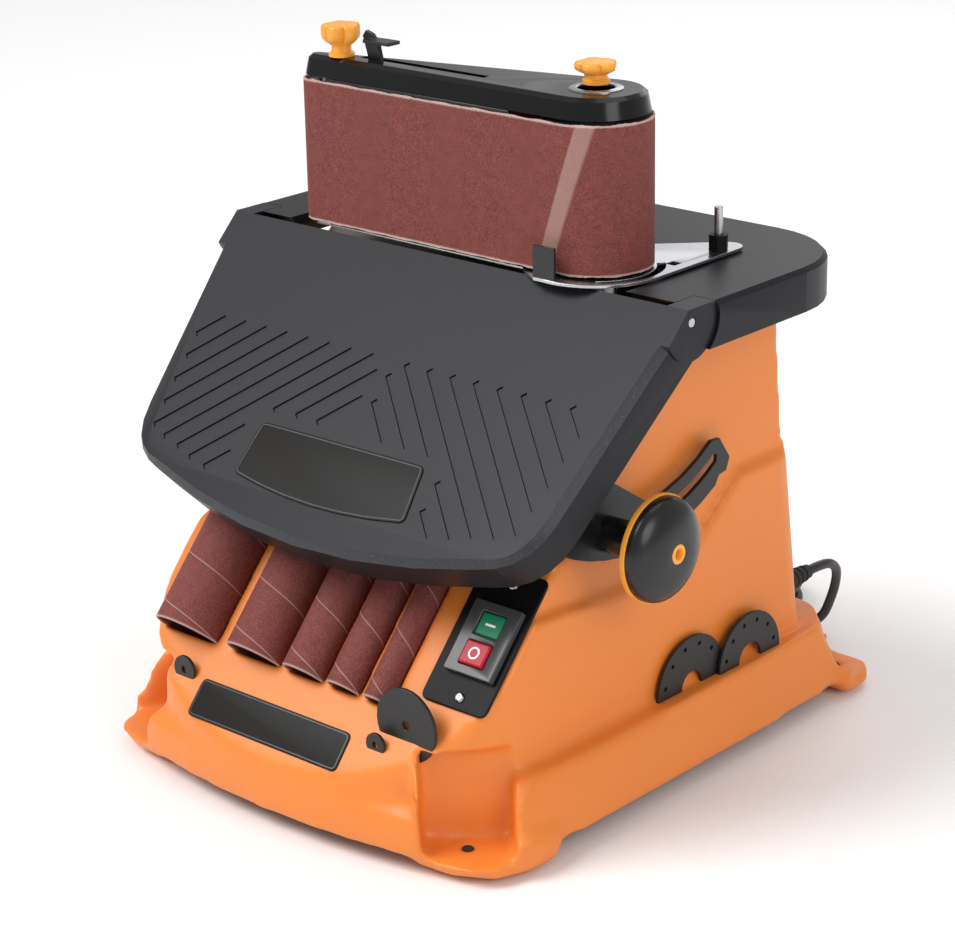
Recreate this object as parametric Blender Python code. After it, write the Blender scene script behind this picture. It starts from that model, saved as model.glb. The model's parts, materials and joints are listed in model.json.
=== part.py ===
"""Oscillating spindle sander with its belt unit fitted, modelled as separate solids.

Frame: metres, +Z up, origin on the ground under the middle of the machine. +X is the operator's
right, -Y is the front. Sizes below are millimetres; to_m() turns points into metres."""

import math

import bmesh
import bpy
from mathutils import Matrix, Vector

# ---------------------------------------------------------------- driving dimensions, millimetres
MM = 0.001
GAP = 0.3                 # free gap kept between touching pieces
WALL = 4.5                # moulded wall of the housing

TABLE_TOP = 350.0         # working height
TABLE_HALF = 206.0        # half width of the fixed table
TABLE_REAR = 166.0        # rear edge
TABLE_FRONT = -26.0       # front edge between the hinge ears
TABLE_CORNER = 75.0       # rear corner radius
TABLE_SKIRT = 30.0        # depth of the cast rim
TABLE_PLATE = 7.0         # thickness of the cast plate
TABLE_RIM = 6.0           # thickness of the cast rim

TILT_REST = 45.0          # degrees below level at rest
TILT_HALF = 204.5         # half width at the hinge
TILT_TAPER = 0.112        # how much each side draws in per millimetre of depth
TILT_DEPTH = 223.0        # hinge edge to the front of the bow
TILT_BOW = 23.0           # rise of the bowed front edge at TILT_BOW_X
TILT_BOW_X = 150.0
TILT_PLATE = 6.0
TILT_CHAMFER = 5.0
HINGE_Y = -30.0
HINGE_DROP = 9.0          # hinge axis below the table top
HINGE_LEAD = 3.7          # rear edge of the tilting table behind the hinge axis
EAR_R = 25.6              # round hinge ears
EAR_IN = 187.0            # inner face of an ear
PIN_R = 3.5
BOSS_R = 7.2

STUD_R = 3.0              # lock stud in the quadrant slot
SLOT_R = 146.0            # slot centre line about the hinge axis
STUD_ANGLE = -12.5        # degrees behind straight down, at rest
SLOT_HALF = 3.6
QUAD_IN_R = 133.0
QUAD_OUT_R = 164.0
QUAD_X = 159.5            # inner face of the quadrant plate
QUAD_T = 3.0
KNOB_R = 35.0
KNOB_FACE = 206.0         # rim plane of the lock knob
KNOB_DOME = 14.0

BODY_HALF = 158.0         # housing side walls
BODY_FRONT = -229.0       # front of the machine, where the sloping panel's measures start
BODY_TIP = -227.4         # tip of the housing's rounded front
BODY_NOSE = 78.4          # depth of the rounded front
BODY_POWER = 2.1          # its superellipse exponent
RECESS_X = 151.5          # side wall behind the quadrants
HOUSING_TOP = TABLE_TOP - TABLE_PLATE - GAP
SLOPE = 48.0              # degrees of the sloping front panel
SLOPE_START = -270.0      # where the panel's plane would meet the ground
PANEL_TOP_Y = -62.0       # upper end of the panel
PLINTH_Z = 12.0
PLINTH_TOP = 60.0
PLINTH_HALF = 187.0
PLINTH_LEDGE = 174.0
PLINTH_REAR = 212.0
PAD_Z = 3.0
PAD_TOP = 14.0
NICHE_IN = 14.0           # a niche reaches this far inwards from its foot
NICHE_HALF = 30.0
REAR_END = 229.0
FOOT_R = 12.0
FOOT_STEM = 3.7

SLEEVES = ((-110.5, 26.0), (-45.2, 22.0), (1.3, 16.5), (38.1, 13.0), (68.0, 10.0))
SLEEVE_LENGTH = 115.0
SLEEVE_WALL = 1.6
SLEEVE_FOOT = 66.5        # lower ends, measured up the panel
SLEEVE_OUT = 0.4          # sleeve axis above the panel
TROUGH_GAP = 0.6
TROUGH_WALL = 2.4

SWITCH_X = 127.0
SWITCH_HALF = 27.5
SWITCH_LOW = 79.6
SWITCH_HIGH = 178.0
SWITCH_T = 2.0
BUTTON_X = 130.0
BUTTON_MID = 127.0
BUTTON_W = 20.0
BUTTON_H = 16.0
BUTTON_PITCH = 21.0
SCREW_R = 3.6

WASHERS = ((103.4, 52.3, 25.5, 3.0, 8.6), (-97.0, 40.0, 10.0, 2.6, 3.0), (84.0, 39.0, 8.0, 2.2, 2.4))
WASHER_T = 2.6
INSERTS = ((160.6, 27.0, 37.0, 11.0), (164.2, 89.0, 35.0, 12.5))
INSERT_T = 2.6
SPARE_SLOT_Y = 130.0

SPINDLE_X = 100.0
SPINDLE_Y = 3.0
SHAFT_R = 8.0
DRUM_R = 36.4             # outside of the rubber drum
IDLER_X = -127.0
IDLER_Y = -21.8
IDLER_R = 9.5
BELT_T = 1.2
BELT_W = 100.0
BELT_Z = 354.9            # lower edge of the sanding belt at the bottom of the stroke
STROKE = 16.0
UNIT_Z = 351.3            # underside of the belt unit's base plate
UNIT_T = 2.0
RING_R = 49.0             # base plate around the drum
COVER_Z = 457.0
COVER_TOP = 471.0
COVER_T = 2.0
COVER_INSET = 1.8
COVER_DRAFT = 3.4
COVER_HOLE = 16.5
LEVER_X = -36.0           # pivot of the tension lever
LEVER_Y = -13.0
LEVER_Z = 432.0
TRACK_X = -106.0          # tracking knob
TRACK_Y = -20.0
GUIDE_X = 140.0
GUIDE_Y = 82.0
GUIDE_R = 3.0

MOTOR_X = -55.0
MOTOR_Y = 52.0
MOTOR_R = 50.0
MOTOR_Z = (178.3, 310.0)
FRAME_Z = (170.0, 178.0)
QUILL_R = 20.0
PULLEY_Z = (108.0, 132.0)
SPINDLE_PULLEY = 32.0
MOTOR_PULLEY = 22.5
DRIVE_BELT_T = 3.0
WORM_R = 11.0
WHEEL_R = 18.0
WHEEL_TEETH = 34

PORT_X = -60.0
PORT_Z = 110.0
PORT_R = 19.0
CORD_R = 3.6
CORD_EXIT = (137.0, 171.0, 84.0)
COIL_XY = (12.0, 286.0)
COIL_MEAN = 41.0

HINGE = Vector((0.0, HINGE_Y, TABLE_TOP - HINGE_DROP))
TILT_EDGE = HINGE + Vector((0.0,
                            HINGE_LEAD * math.cos(math.radians(TILT_REST))
                            - HINGE_DROP * math.sin(math.radians(TILT_REST)),
                            HINGE_LEAD * math.sin(math.radians(TILT_REST))
                            + HINGE_DROP * math.cos(math.radians(TILT_REST))))
SEGMENTS = 40             # sides of a full round
SEAM = 0.004              # vertices closer than this are one


# ---------------------------------------------------------------- finishes
FINISHES = {
    "orange_plastic": ((0.78, 0.23, 0.04), 0.45, 0.0),
    "cast_table": ((0.035, 0.037, 0.045), 0.45, 0.6),
    "black_steel": ((0.012, 0.012, 0.013), 0.3, 0.5),
    "gloss_black": ((0.008, 0.008, 0.009), 0.12, 0.0),
    "bright_steel": ((0.55, 0.55, 0.56), 0.25, 1.0),
    "cast_alloy": ((0.45, 0.46, 0.47), 0.5, 0.9),
    "abrasive": ((0.22, 0.055, 0.045), 0.9, 0.0),
    "rubber": ((0.02, 0.02, 0.02), 0.8, 0.0),
    "knob_orange": ((0.85, 0.32, 0.03), 0.35, 0.0),
    "knob_black": ((0.02, 0.02, 0.021), 0.5, 0.0),
    "black_panel": ((0.012, 0.012, 0.013), 0.5, 0.0),
    "smoke_plastic": ((0.06, 0.06, 0.065), 0.2, 0.0),
    "green_plastic": ((0.01, 0.25, 0.1), 0.35, 0.0),
    "red_plastic": ((0.55, 0.01, 0.03), 0.35, 0.0),
    "insert_plastic": ((0.02, 0.02, 0.022), 0.55, 0.0),
    "cord_jacket": ((0.012, 0.012, 0.012), 0.55, 0.0),
    "brass": ((0.6, 0.42, 0.12), 0.3, 1.0),
}


def finish(name):
    """The Principled material of this name, made on first use."""
    if name in bpy.data.materials:
        return bpy.data.materials[name]
    colour, roughness, metallic = FINISHES[name]
    made = bpy.data.materials.new(name)
    made.use_nodes = True
    shader = made.node_tree.nodes["Principled BSDF"]
    shader.inputs["Base Color"].default_value = (*colour, 1.0)
    shader.inputs["Roughness"].default_value = roughness
    shader.inputs["Metallic"].default_value = metallic
    return made


# ---------------------------------------------------------------- outlines, in millimetres
def arc(centre, radius, start, end, steps):
    """Points on an arc, in degrees, both ends included."""
    angles = [math.radians(start + (end - start) * i / steps) for i in range(steps + 1)]
    return [(centre[0] + radius * math.cos(a), centre[1] + radius * math.sin(a)) for a in angles]


def circle(centre, radius, steps=SEGMENTS):
    return arc(centre, radius, 0.0, 360.0 * (steps - 1) / steps, steps - 1)


def rectangle(x0, x1, y0, y1):
    return [(x0, y0), (x1, y0), (x1, y1), (x0, y1)]


def rounded(x0, x1, y0, y1, radius, steps=4):
    """A rectangle with round corners."""
    corners = ((x1 - radius, y0 + radius, -90), (x1 - radius, y1 - radius, 0),
               (x0 + radius, y1 - radius, 90), (x0 + radius, y0 + radius, 180))
    points = []
    for cx, cy, start in corners:
        points += arc((cx, cy), radius, start, start + 90, steps)
    return points


def hull(points):
    """Convex outline around the points, anticlockwise."""
    ordered = sorted(set((round(x, 5), round(y, 5)) for x, y in points))

    def half(sequence):
        chain = []
        for p in sequence:
            while len(chain) > 1:
                (ax, ay), (bx, by) = chain[-2], chain[-1]
                if (bx - ax) * (p[1] - ay) - (by - ay) * (p[0] - ax) > 1e-9:
                    break
                chain.pop()
            chain.append(p)
        return chain[:-1]
    return half(ordered) + half(reversed(ordered))


def belt_loop(centre_a, radius_a, centre_b, radius_b, steps=14):
    """A loop around two pulleys: two arcs joined by their outer tangents, anticlockwise."""
    dx, dy = centre_b[0] - centre_a[0], centre_b[1] - centre_a[1]
    along = math.degrees(math.atan2(dy, dx))
    lean = math.degrees(math.asin((radius_a - radius_b) / math.hypot(dx, dy)))
    first = arc(centre_a, radius_a, along + 90 - lean, along + 270 + lean, steps)
    return first + arc(centre_b, radius_b, along - 90 + lean, along + 90 - lean, steps)


def bowed_box(half, front, rear, bow_front, bow_side, corner):
    """Plan of the plinth: bowed front, bowed sides, round corners."""
    middle = (front + rear) / 2
    length = (rear - front) / 2

    def side(y):
        return half - bow_side * ((y - middle) / length) ** 2

    span = half - bow_side - corner
    nose = [(span * i / 4, front + bow_front * (i / 4) ** 2) for i in range(-4, 5)]
    right = arc((span, front + bow_front + corner), corner, -80, -10, 3)
    flank = [(side(front + (rear - front) * t), front + (rear - front) * t) for t in (0.3, 0.5, 0.7)]
    back = arc((span, rear - corner), corner, 0, 90, 3)
    half_turn = right + flank + back
    return nose + half_turn + [(-x, y) for x, y in reversed(half_turn)]


def body_plan(half, front, nose, rear, corner):
    """Plan of the housing: superellipse front, straight flanks, round rear corners."""
    centre = front + nose
    points = []
    for i in range(25):
        a = math.radians(180 + 180 * i / 24)
        x = abs(math.cos(a)) ** (2 / BODY_POWER) * half
        y = abs(math.sin(a)) ** (2 / BODY_POWER) * nose
        points.append((math.copysign(x, math.cos(a)), centre - y))
    points += arc((half - corner, rear - corner), corner, 0, 90, 3)
    points += arc((corner - half, rear - corner), corner, 90, 180, 3)
    return points


def star(centre, radius, depth, lobes=5, steps=6):
    """A star knob: lobes that swell and draw in along a cosine."""
    points = []
    for i in range(lobes * steps):
        a = 2 * math.pi * i / (lobes * steps)
        r = radius - depth * (0.5 - 0.5 * math.cos(lobes * a))
        points.append((centre[0] + r * math.cos(a), centre[1] + r * math.sin(a)))
    return points


# ---------------------------------------------------------------- solids
def to_m(points):
    return [Vector(p) * MM for p in points]


def flat(face):
    """True when a quad's corners lie in one plane."""
    a, b, c, d = (v.co for v in face.verts)
    return abs((b - a).cross(c - a).normalized().dot(d - a)) < 1e-7


def make(name, rings, material, closed=False, matrix=None):
    """A closed solid through rings of points (one point makes a pole); closed joins last to first."""
    bm = bmesh.new()
    made = []
    for ring in rings:
        points = to_m(ring)
        if matrix is not None:
            points = [matrix @ p for p in points]
        made.append([bm.verts.new(p) for p in points])
    pairs = list(zip(made, made[1:] + made[:1])) if closed else list(zip(made, made[1:]))
    for low, high in pairs:
        count = max(len(low), len(high))
        for i in range(count):
            j = (i + 1) % count
            quad = [low[i % len(low)], low[j % len(low)], high[j % len(high)], high[i % len(high)]]
            bm.faces.new(list(dict.fromkeys(quad)))
    bent = [f for f in bm.faces if len(f.verts) == 4 and not flat(f)]
    bmesh.ops.triangulate(bm, faces=bent)
    if not closed:
        for end in (made[0], made[-1]):
            if len(end) > 2:
                bm.faces.new(end)
    bmesh.ops.recalc_face_normals(bm, faces=bm.faces)
    mesh = bpy.data.meshes.new(name)
    bm.to_mesh(mesh)
    bm.free()
    mesh.shade_smooth()
    mesh.set_sharp_from_angle(angle=math.radians(32))
    mesh.materials.append(finish(material))
    made_object = bpy.data.objects.new(name, mesh)
    bpy.context.scene.collection.objects.link(made_object)
    return made_object


def at_height(outline, z):
    return [(x, y, z) for x, y in outline]


def prism(name, outline, z0, z1, material="rubber"):
    """Upright prism over an outline in X and Y."""
    return make(name, [at_height(outline, z0), at_height(outline, z1)], material)


def side_prism(name, outline, x0, x1, material="rubber"):
    """Prism along X over an outline in Y and Z."""
    return make(name, [[(x, y, z) for y, z in outline] for x in (x0, x1)], material)


def box(name, x0, x1, y0, y1, z0, z1, material="rubber", matrix=None):
    rings = [at_height(rectangle(x0, x1, y0, y1), z) for z in (z0, z1)]
    return make(name, rings, material, matrix=matrix)


def pipe(name, outer, inner, z0, z1, material):
    """Upright wall between two outlines of equal point count."""
    rings = [at_height(outer, z0), at_height(outer, z1), at_height(inner, z1), at_height(inner, z0)]
    return make(name, rings, material, closed=True)


def frame_at(origin, axis):
    """Matrix that puts local +Z along axis at origin, in millimetres."""
    turn = Vector((0, 0, 1)).rotation_difference(Vector(axis)).to_matrix().to_4x4()
    return Matrix.Translation(Vector(origin) * MM) @ turn


def turned(name, profile, origin, material, axis=(0, 0, 1), steps=SEGMENTS):
    """Solid of revolution from (radius, height) points; a radius of 0 makes a pole."""
    rings = []
    for r, z in profile:
        if r == 0:
            rings.append([(0, 0, z)])
        else:
            rings.append(at_height(circle((0, 0), r, steps), z))
    hollow = profile[0][0] > 0 and profile[-1][0] > 0
    return make(name, rings, material, closed=hollow, matrix=frame_at(origin, axis))


def rod(name, origin, axis, radius, z0, z1, material="rubber", steps=24):
    return turned(name, [(0, z0), (radius, z0), (radius, z1), (0, z1)], origin, material, axis, steps)


def combine(target, tool, operation):
    """Boolean with a hidden helper object."""
    tool.hide_render = True
    tool.display_type = 'WIRE'
    modifier = target.modifiers.new(tool.name, 'BOOLEAN')
    modifier.operation = operation
    modifier.solver = 'EXACT'
    modifier.object = tool
    return target


def cut(target, *tools):
    for tool in tools:
        combine(target, tool, 'DIFFERENCE')
    return target


def weld(target, *tools):
    for tool in tools:
        combine(target, tool, 'UNION')
    return target


def close_seams(pieces):
    """Weld vertices that a Boolean left a hair apart."""
    for piece in pieces:
        if piece.type == 'MESH' and piece.modifiers and not piece.hide_render:
            piece.modifiers.new("seams", 'WELD').merge_threshold = SEAM * MM


def joint_axis(name, origin, pieces):
    """Empty on a joint's axis that carries the moving pieces, which keep their place."""
    empty = bpy.data.objects.new(name, None)
    empty.location = Vector(origin) * MM
    bpy.context.scene.collection.objects.link(empty)
    for piece in pieces:
        piece.parent = empty
        piece.matrix_parent_inverse = Matrix.Translation(-Vector(origin) * MM)
    return empty


# ---------------------------------------------------------------- the sloping front panel's frame
SLOPE_RAD = math.radians(SLOPE)
UP_SLOPE = Vector((0, math.cos(SLOPE_RAD), math.sin(SLOPE_RAD)))
OUT_SLOPE = Vector((0, -math.sin(SLOPE_RAD), math.cos(SLOPE_RAD)))


def slope_z(y, inset=0.0):
    """Height of the panel's plane at y, with the plane moved inwards by inset."""
    return (y - SLOPE_START - inset / math.sin(SLOPE_RAD)) * math.tan(SLOPE_RAD)


def on_panel(x, up, out=0.0):
    """Point at x, a distance up the panel from the housing's tip, and out from its plane."""
    foot = Vector((x, BODY_FRONT, slope_z(BODY_FRONT)))
    return foot + UP_SLOPE * up + OUT_SLOPE * out


def panel_matrix(x, up):
    """Local X across, local Y up the panel, local Z out of it."""
    basis = Matrix((Vector((1, 0, 0)), UP_SLOPE, OUT_SLOPE)).transposed().to_4x4()
    return Matrix.Translation(on_panel(x, up) * MM) @ basis


def front_profile(inset):
    """Side view of everything in front of the housing's front wall, moved inwards by inset."""
    wall = PANEL_TOP_Y + inset
    top_shift = 332.0 - inset * math.sqrt(2)
    foot = SLOPE_START + inset / math.sin(SLOPE_RAD)
    return [(foot, 0.0), (wall, slope_z(wall, inset)), (wall, wall + top_shift),
            (30.0, 30.0 + top_shift), (30.0, 420.0), (-420.0, 420.0), (-420.0, 0.0)]


# ---------------------------------------------------------------- tilting table's frame
TILT_RAD = math.radians(TILT_REST)
DOWN_TILT = Vector((0, -math.cos(TILT_RAD), -math.sin(TILT_RAD)))
OUT_TILT = Vector((0, -math.sin(TILT_RAD), math.cos(TILT_RAD)))


def tilt_matrix():
    """Local X across, local Y from the hinge edge towards the front, local Z out of the top."""
    basis = Matrix((Vector((1, 0, 0)), DOWN_TILT, OUT_TILT)).transposed().to_4x4()
    return Matrix.Translation(TILT_EDGE * MM) @ basis


def tilt_plan(inset, rear=0.0):
    """Plan of the tilting table, drawn in by inset: tapered sides, bowed front, round corners."""
    def side(s):
        return TILT_HALF - TILT_TAPER * s - inset

    def bow(x):
        return TILT_DEPTH - inset - TILT_BOW * (x / TILT_BOW_X) ** 2

    near = (side(158.0), 158.0)
    far = (TILT_BOW_X - 4.0, bow(TILT_BOW_X - 4.0))
    knee = (side(190.0), 193.0)
    corner = []
    for i in range(1, 5):
        t = i / 5
        corner.append(tuple((1 - t) ** 2 * a + 2 * t * (1 - t) * b + t * t * c
                            for a, b, c in zip(near, knee, far)))
    right = [(side(rear), rear), near] + corner + [far]
    front = [(x, bow(x)) for x in (100.0, 50.0, 0.0, -50.0, -100.0)]
    return right + front + [(-x, y) for x, y in reversed(right)]


# ---------------------------------------------------------------- base
def plinth_rings():
    return [at_height(bowed_box(PLINTH_HALF, BODY_FRONT, PLINTH_REAR, 20, 6, 26), PLINTH_Z),
            at_height(bowed_box(PLINTH_HALF - 6, BODY_FRONT, PLINTH_REAR - 2, 20, 5, 30), 38.0),
            at_height(bowed_box(PLINTH_LEDGE, BODY_FRONT + 24, PLINTH_REAR - 7, 22, 3, 44), PLINTH_TOP)]


def foot_pads():
    """Plan of the right-hand foot pads: front, then rear."""
    front = [(118, -209), (150, -206), (176, -192), (186, -168), (187, -138), (150, -138), (118, -176)]
    rear = [(124, 184), (187, 184), (186, 210), (172, REAR_END), (124, REAR_END)]
    return front, rear


def mirrored(outline):
    return [(-x, y) for x, y in reversed(outline)]


FOOT_XY = ((143.0, -182.0), (-143.0, -182.0), (158.0, 206.0), (-158.0, 206.0))


def niche_box(name, x, y, grow):
    """Corner box over a foot's pad, set at 45 degrees and open outwards, grown by a wall."""
    turn = Matrix.Translation(Vector((x, y, 0)) * MM) @ Matrix.Rotation(math.radians(45), 4, 'Z')
    half = NICHE_HALF + grow
    if (x > 0) == (y > 0):
        sign = 1 if x > 0 else -1
        sides = sorted((-(NICHE_IN + grow) * sign, 80.0 * sign)) + [-half, half]
    else:
        sign = 1 if y > 0 else -1
        sides = [-half, half] + sorted((-(NICHE_IN + grow) * sign, 80.0 * sign))
    return box(name, *sides, PAD_TOP - grow, 80.0 + grow, matrix=turn)


def build_housing():
    """One moulded shell: plinth, nose, sloping panel with its troughs, open under the table."""
    housing = make("base_housing", plinth_rings(), "orange_plastic")
    body = make("body_mass", [
        at_height(body_plan(BODY_HALF, BODY_TIP, BODY_NOSE, 176.0, 20.0), 30.0),
        at_height(body_plan(BODY_HALF, BODY_TIP, BODY_NOSE, 152.0, 20.0), 206.0),
        at_height(body_plan(BODY_HALF, BODY_TIP, BODY_NOSE, 140.0, 20.0), HOUSING_TOP)], "rubber")
    weld(housing, body)
    cut(housing, side_prism("front_cut", front_profile(0.0), -300, 300))

    hollow = make("hollow", [
        at_height(body_plan(RECESS_X - WALL, BODY_FRONT + 6, BODY_NOSE - 4, 170.0, 6.0), 46.0),
        at_height(body_plan(RECESS_X - WALL, BODY_FRONT + 6, BODY_NOSE - 4, 140.0, 6.0), 200.0),
        at_height(body_plan(RECESS_X - WALL, BODY_FRONT + 6, BODY_NOSE - 4, 124.0, 6.0), 360.0)],
        "rubber")
    inner = bowed_box(PLINTH_LEDGE - WALL, BODY_FRONT + 16, PLINTH_REAR - 14, 22, 3, 40)
    weld(hollow, prism("plinth_hollow", inner, 0.0, PLINTH_TOP - WALL))
    cut(hollow, side_prism("inner_front", front_profile(WALL), -300, 300))
    for number, (x, radius) in enumerate(SLEEVES, 1):
        shell = rod("trough_shell_%d" % number, on_panel(x, SLEEVE_FOOT, SLEEVE_OUT), UP_SLOPE,
                    radius + TROUGH_GAP + TROUGH_WALL, -WALL, SLEEVE_LENGTH + 6)
        cut(hollow, shell)
    for number, (x, y) in enumerate(FOOT_XY, 1):
        cut(hollow, niche_box("niche_shell_%d" % number, x, y, WALL))
    cut(housing, hollow)

    for number, pad in enumerate(foot_pads(), 1):
        weld(housing, prism("pad_right_%d" % number, pad, PAD_Z, 26.0),
             prism("pad_left_%d" % number, mirrored(pad), PAD_Z, 26.0))
    recess = [(152, 196), (88, 196), (38, 158), (10, 150), (-45, 150), (-150, 158), (-150, 400),
              (152, 400)]
    cut(housing, side_prism("recess_right", recess, RECESS_X, 260),
        side_prism("recess_left", recess, -260, -RECESS_X))
    cut(housing, side_prism("rear_step", [(144, 204), (129, 360), (260, 360), (260, 204)], -260, 260))
    for number, (x, radius) in enumerate(SLEEVES, 1):
        cut(housing, rod("trough_%d" % number, on_panel(x, SLEEVE_FOOT, SLEEVE_OUT), UP_SLOPE,
                         radius + TROUGH_GAP, -GAP, SLEEVE_LENGTH + 2))
    for number, (x, y) in enumerate(FOOT_XY, 1):
        cut(housing, niche_box("niche_%d" % number, x, y, 0.0))
        cut(housing, rod("foot_hole_%d" % number, (x, y, 0), (0, 0, 1), FOOT_STEM + 0.4, 0, 30))
    cut(housing, box("switch_hole", -17.5, 17.5, -22.5, 22.5, -30, 5,
                     matrix=panel_matrix(BUTTON_X, BUTTON_MID)))
    for number, (x, up, radius, _, lift) in enumerate(WASHERS, 1):
        foot = on_panel(x, up)
        half = WASHER_T / 2 + GAP
        cut(housing, box("washer_slot_%d" % number, x - radius - 0.6, x + radius + 0.6,
                         foot.y - half, foot.y + half, foot.z + lift - radius - 1, foot.z + 12))
    cut(housing, rod("quill_clearance", (SPINDLE_X, SPINDLE_Y, 0), (0, 0, 1), QUILL_R + 8, 285, 400,
                     steps=32))
    slots = [(x, y - r - 0.8, y + r + 0.8) for x, y, r, _ in INSERTS]
    slots.append((INSERTS[0][0], SPARE_SLOT_Y, SPARE_SLOT_Y + 34))
    for number, (x, y0, y1) in enumerate(slots, 1):
        cut(housing, box("insert_slot_%d" % number, x - GAP, x + INSERT_T + GAP, y0, y1, 20,
                         PLINTH_TOP + 10))
    for sign in (-1, 1):
        stud = stud_centre()
        cut(housing, rod("stud_hole_%d" % sign, (sign * RECESS_X, stud.y, stud.z), (1, 0, 0),
                         STUD_R + 0.5, -20, 20))
    cut(housing, rod("port_hole", (PORT_X, 160, PORT_Z), (0, 1, 0), PORT_R + 0.4, -30, 30),
        rod("gland_hole", (CORD_EXIT[0], 150, CORD_EXIT[2]), (0, 1, 0), 6.3, -10, 30))
    return housing


def build_base_fittings():
    """Bottom cover, feet, dust port and cord gland."""
    cover = bowed_box(PLINTH_LEDGE - WALL - 2, BODY_FRONT + 20, PLINTH_REAR - 18, 22, 3, 44)
    plate = prism("bottom_cover", cover, 14.6, 17.0, "black_steel")
    for number, pad in enumerate(foot_pads(), 1):
        grown = [(x - 6 if x < 140 else x, y) for x, y in pad]
        grown = [(x, y + (6 if y < 0 and y > -180 else 0) - (6 if 0 < y < 190 else 0)) for x,
                 y in grown]
        cut(plate, prism("cover_notch_r%d" % number, grown, 10, 30),
            prism("cover_notch_l%d" % number, mirrored(grown), 10, 30))
    for number, (x, y) in enumerate(FOOT_XY, 1):
        cut(plate, niche_box("cover_niche_%d" % number, x, y, WALL + GAP))
    for name, (x, y) in zip(("front_right", "front_left", "rear_right", "rear_left"), FOOT_XY):
        turned("rubber_foot_" + name, [(0, 0), (FOOT_R, 0), (FOOT_R, PAD_Z - GAP),
                                       (FOOT_STEM, PAD_Z - GAP), (FOOT_STEM, 9), (0, 9)],
               (x, y, 0), "rubber", steps=24)
    turned("dust_port", [(PORT_R, 0), (PORT_R, 31), (PORT_R - 2, 31), (PORT_R - 2, -6),
                         (PORT_R + 5, -6),
                         (PORT_R + 5, -3.5), (PORT_R, -3.5)], (PORT_X, 155.5, PORT_Z), "black_panel",
           axis=(0, 1, 0), steps=32)
    gland = [(CORD_R + GAP, -7), (7.4, -7), (7.4, -4.5), (6, -4.5), (6, 8), (9, 8), (8.4, 13),
             (5.4, 36),
             (CORD_R + GAP, 36)]
    turned("cord_gland", gland, (CORD_EXIT[0], CORD_EXIT[1] - 8, CORD_EXIT[2]), "cord_jacket",
           axis=(0, 1, 0), steps=24)


def build_storage():
    """Sleeves in their troughs, washers and inserts in their slots."""
    for number, (x, radius) in enumerate(SLEEVES, 1):
        turned("stored_sleeve_%d" % number,
               [(radius, 0), (radius, SLEEVE_LENGTH), (radius - SLEEVE_WALL, SLEEVE_LENGTH),
                (radius - SLEEVE_WALL, 0)], on_panel(x, SLEEVE_FOOT, SLEEVE_OUT), "abrasive", UP_SLOPE,
               steps=28)
    for name, (x, up, radius, hole, lift) in zip(("large", "small_left", "small_right"), WASHERS):
        foot = on_panel(x, up)
        half = WASHER_T / 2
        turned("stored_washer_" + name, [(radius, -half), (radius, half), (hole, half), (hole, -half)],
               (x, foot.y, foot.z + lift), "insert_plastic", (0, 1, 0), steps=28)
    for number, (x, y, radius, hole) in enumerate(INSERTS, 1):
        turned("table_insert_%d" % number, [(radius, 0), (radius, INSERT_T), (hole, INSERT_T),
                                            (hole, 0)],
               (x, y, PLINTH_TOP), "insert_plastic", (1, 0, 0), steps=36)


def build_switch():
    """Switch plate, bezel, two push buttons and two screws on the sloping panel."""
    mid = (SWITCH_LOW + SWITCH_HIGH) / 2
    half = (SWITCH_HIGH - SWITCH_LOW) / 2
    rings = [at_height(rounded(-SWITCH_HALF, SWITCH_HALF, -half, half, 5), z) for z in (GAP,
        GAP + SWITCH_T)]
    plate = make("switch_plate", rings, "black_panel", matrix=panel_matrix(SWITCH_X, mid))
    at_buttons = panel_matrix(BUTTON_X, BUTTON_MID)
    cut(plate, box("plate_window", -17.3, 17.3, -22.3, 22.3, -2, 6, matrix=at_buttons))
    top = GAP + SWITCH_T + GAP
    bezel = box("switch_bezel", -17, 17, -22, 22, -11, top + 3, "smoke_plastic", at_buttons)
    weld(bezel, box("bezel_rim", -20, 20, -25, 25, top, top + 5, matrix=at_buttons))
    buttons = []
    for name, sign, rise, material in (("green_button", 1, 6.5, "green_plastic"),
                                       ("red_button", -1, 9.5, "red_plastic")):
        off = sign * BUTTON_PITCH / 2
        w, h = BUTTON_W / 2, BUTTON_H / 2
        cut(bezel, box("window_" + name, -w - GAP, w + GAP, off - h - GAP, off + h + GAP, -20, 20,
                       matrix=at_buttons))
        buttons.append(box(name, -w, w, off - h, off + h, -5, rise, material, at_buttons))
    for name, up in (("lower", SWITCH_LOW + 8), ("upper", SWITCH_HIGH - 10)):
        out = GAP + SWITCH_T + GAP
        turned("plate_screw_" + name, [(0, out), (SCREW_R, out), (SCREW_R - 0.8, out + 1.8),
                                       (0, out + 2.2)],
               on_panel(BUTTON_X, up), "bright_steel", OUT_SLOPE, steps=16)
    for button in buttons:
        joint_axis(button.name + "_axis", on_panel(BUTTON_X, BUTTON_MID), [button])


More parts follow.
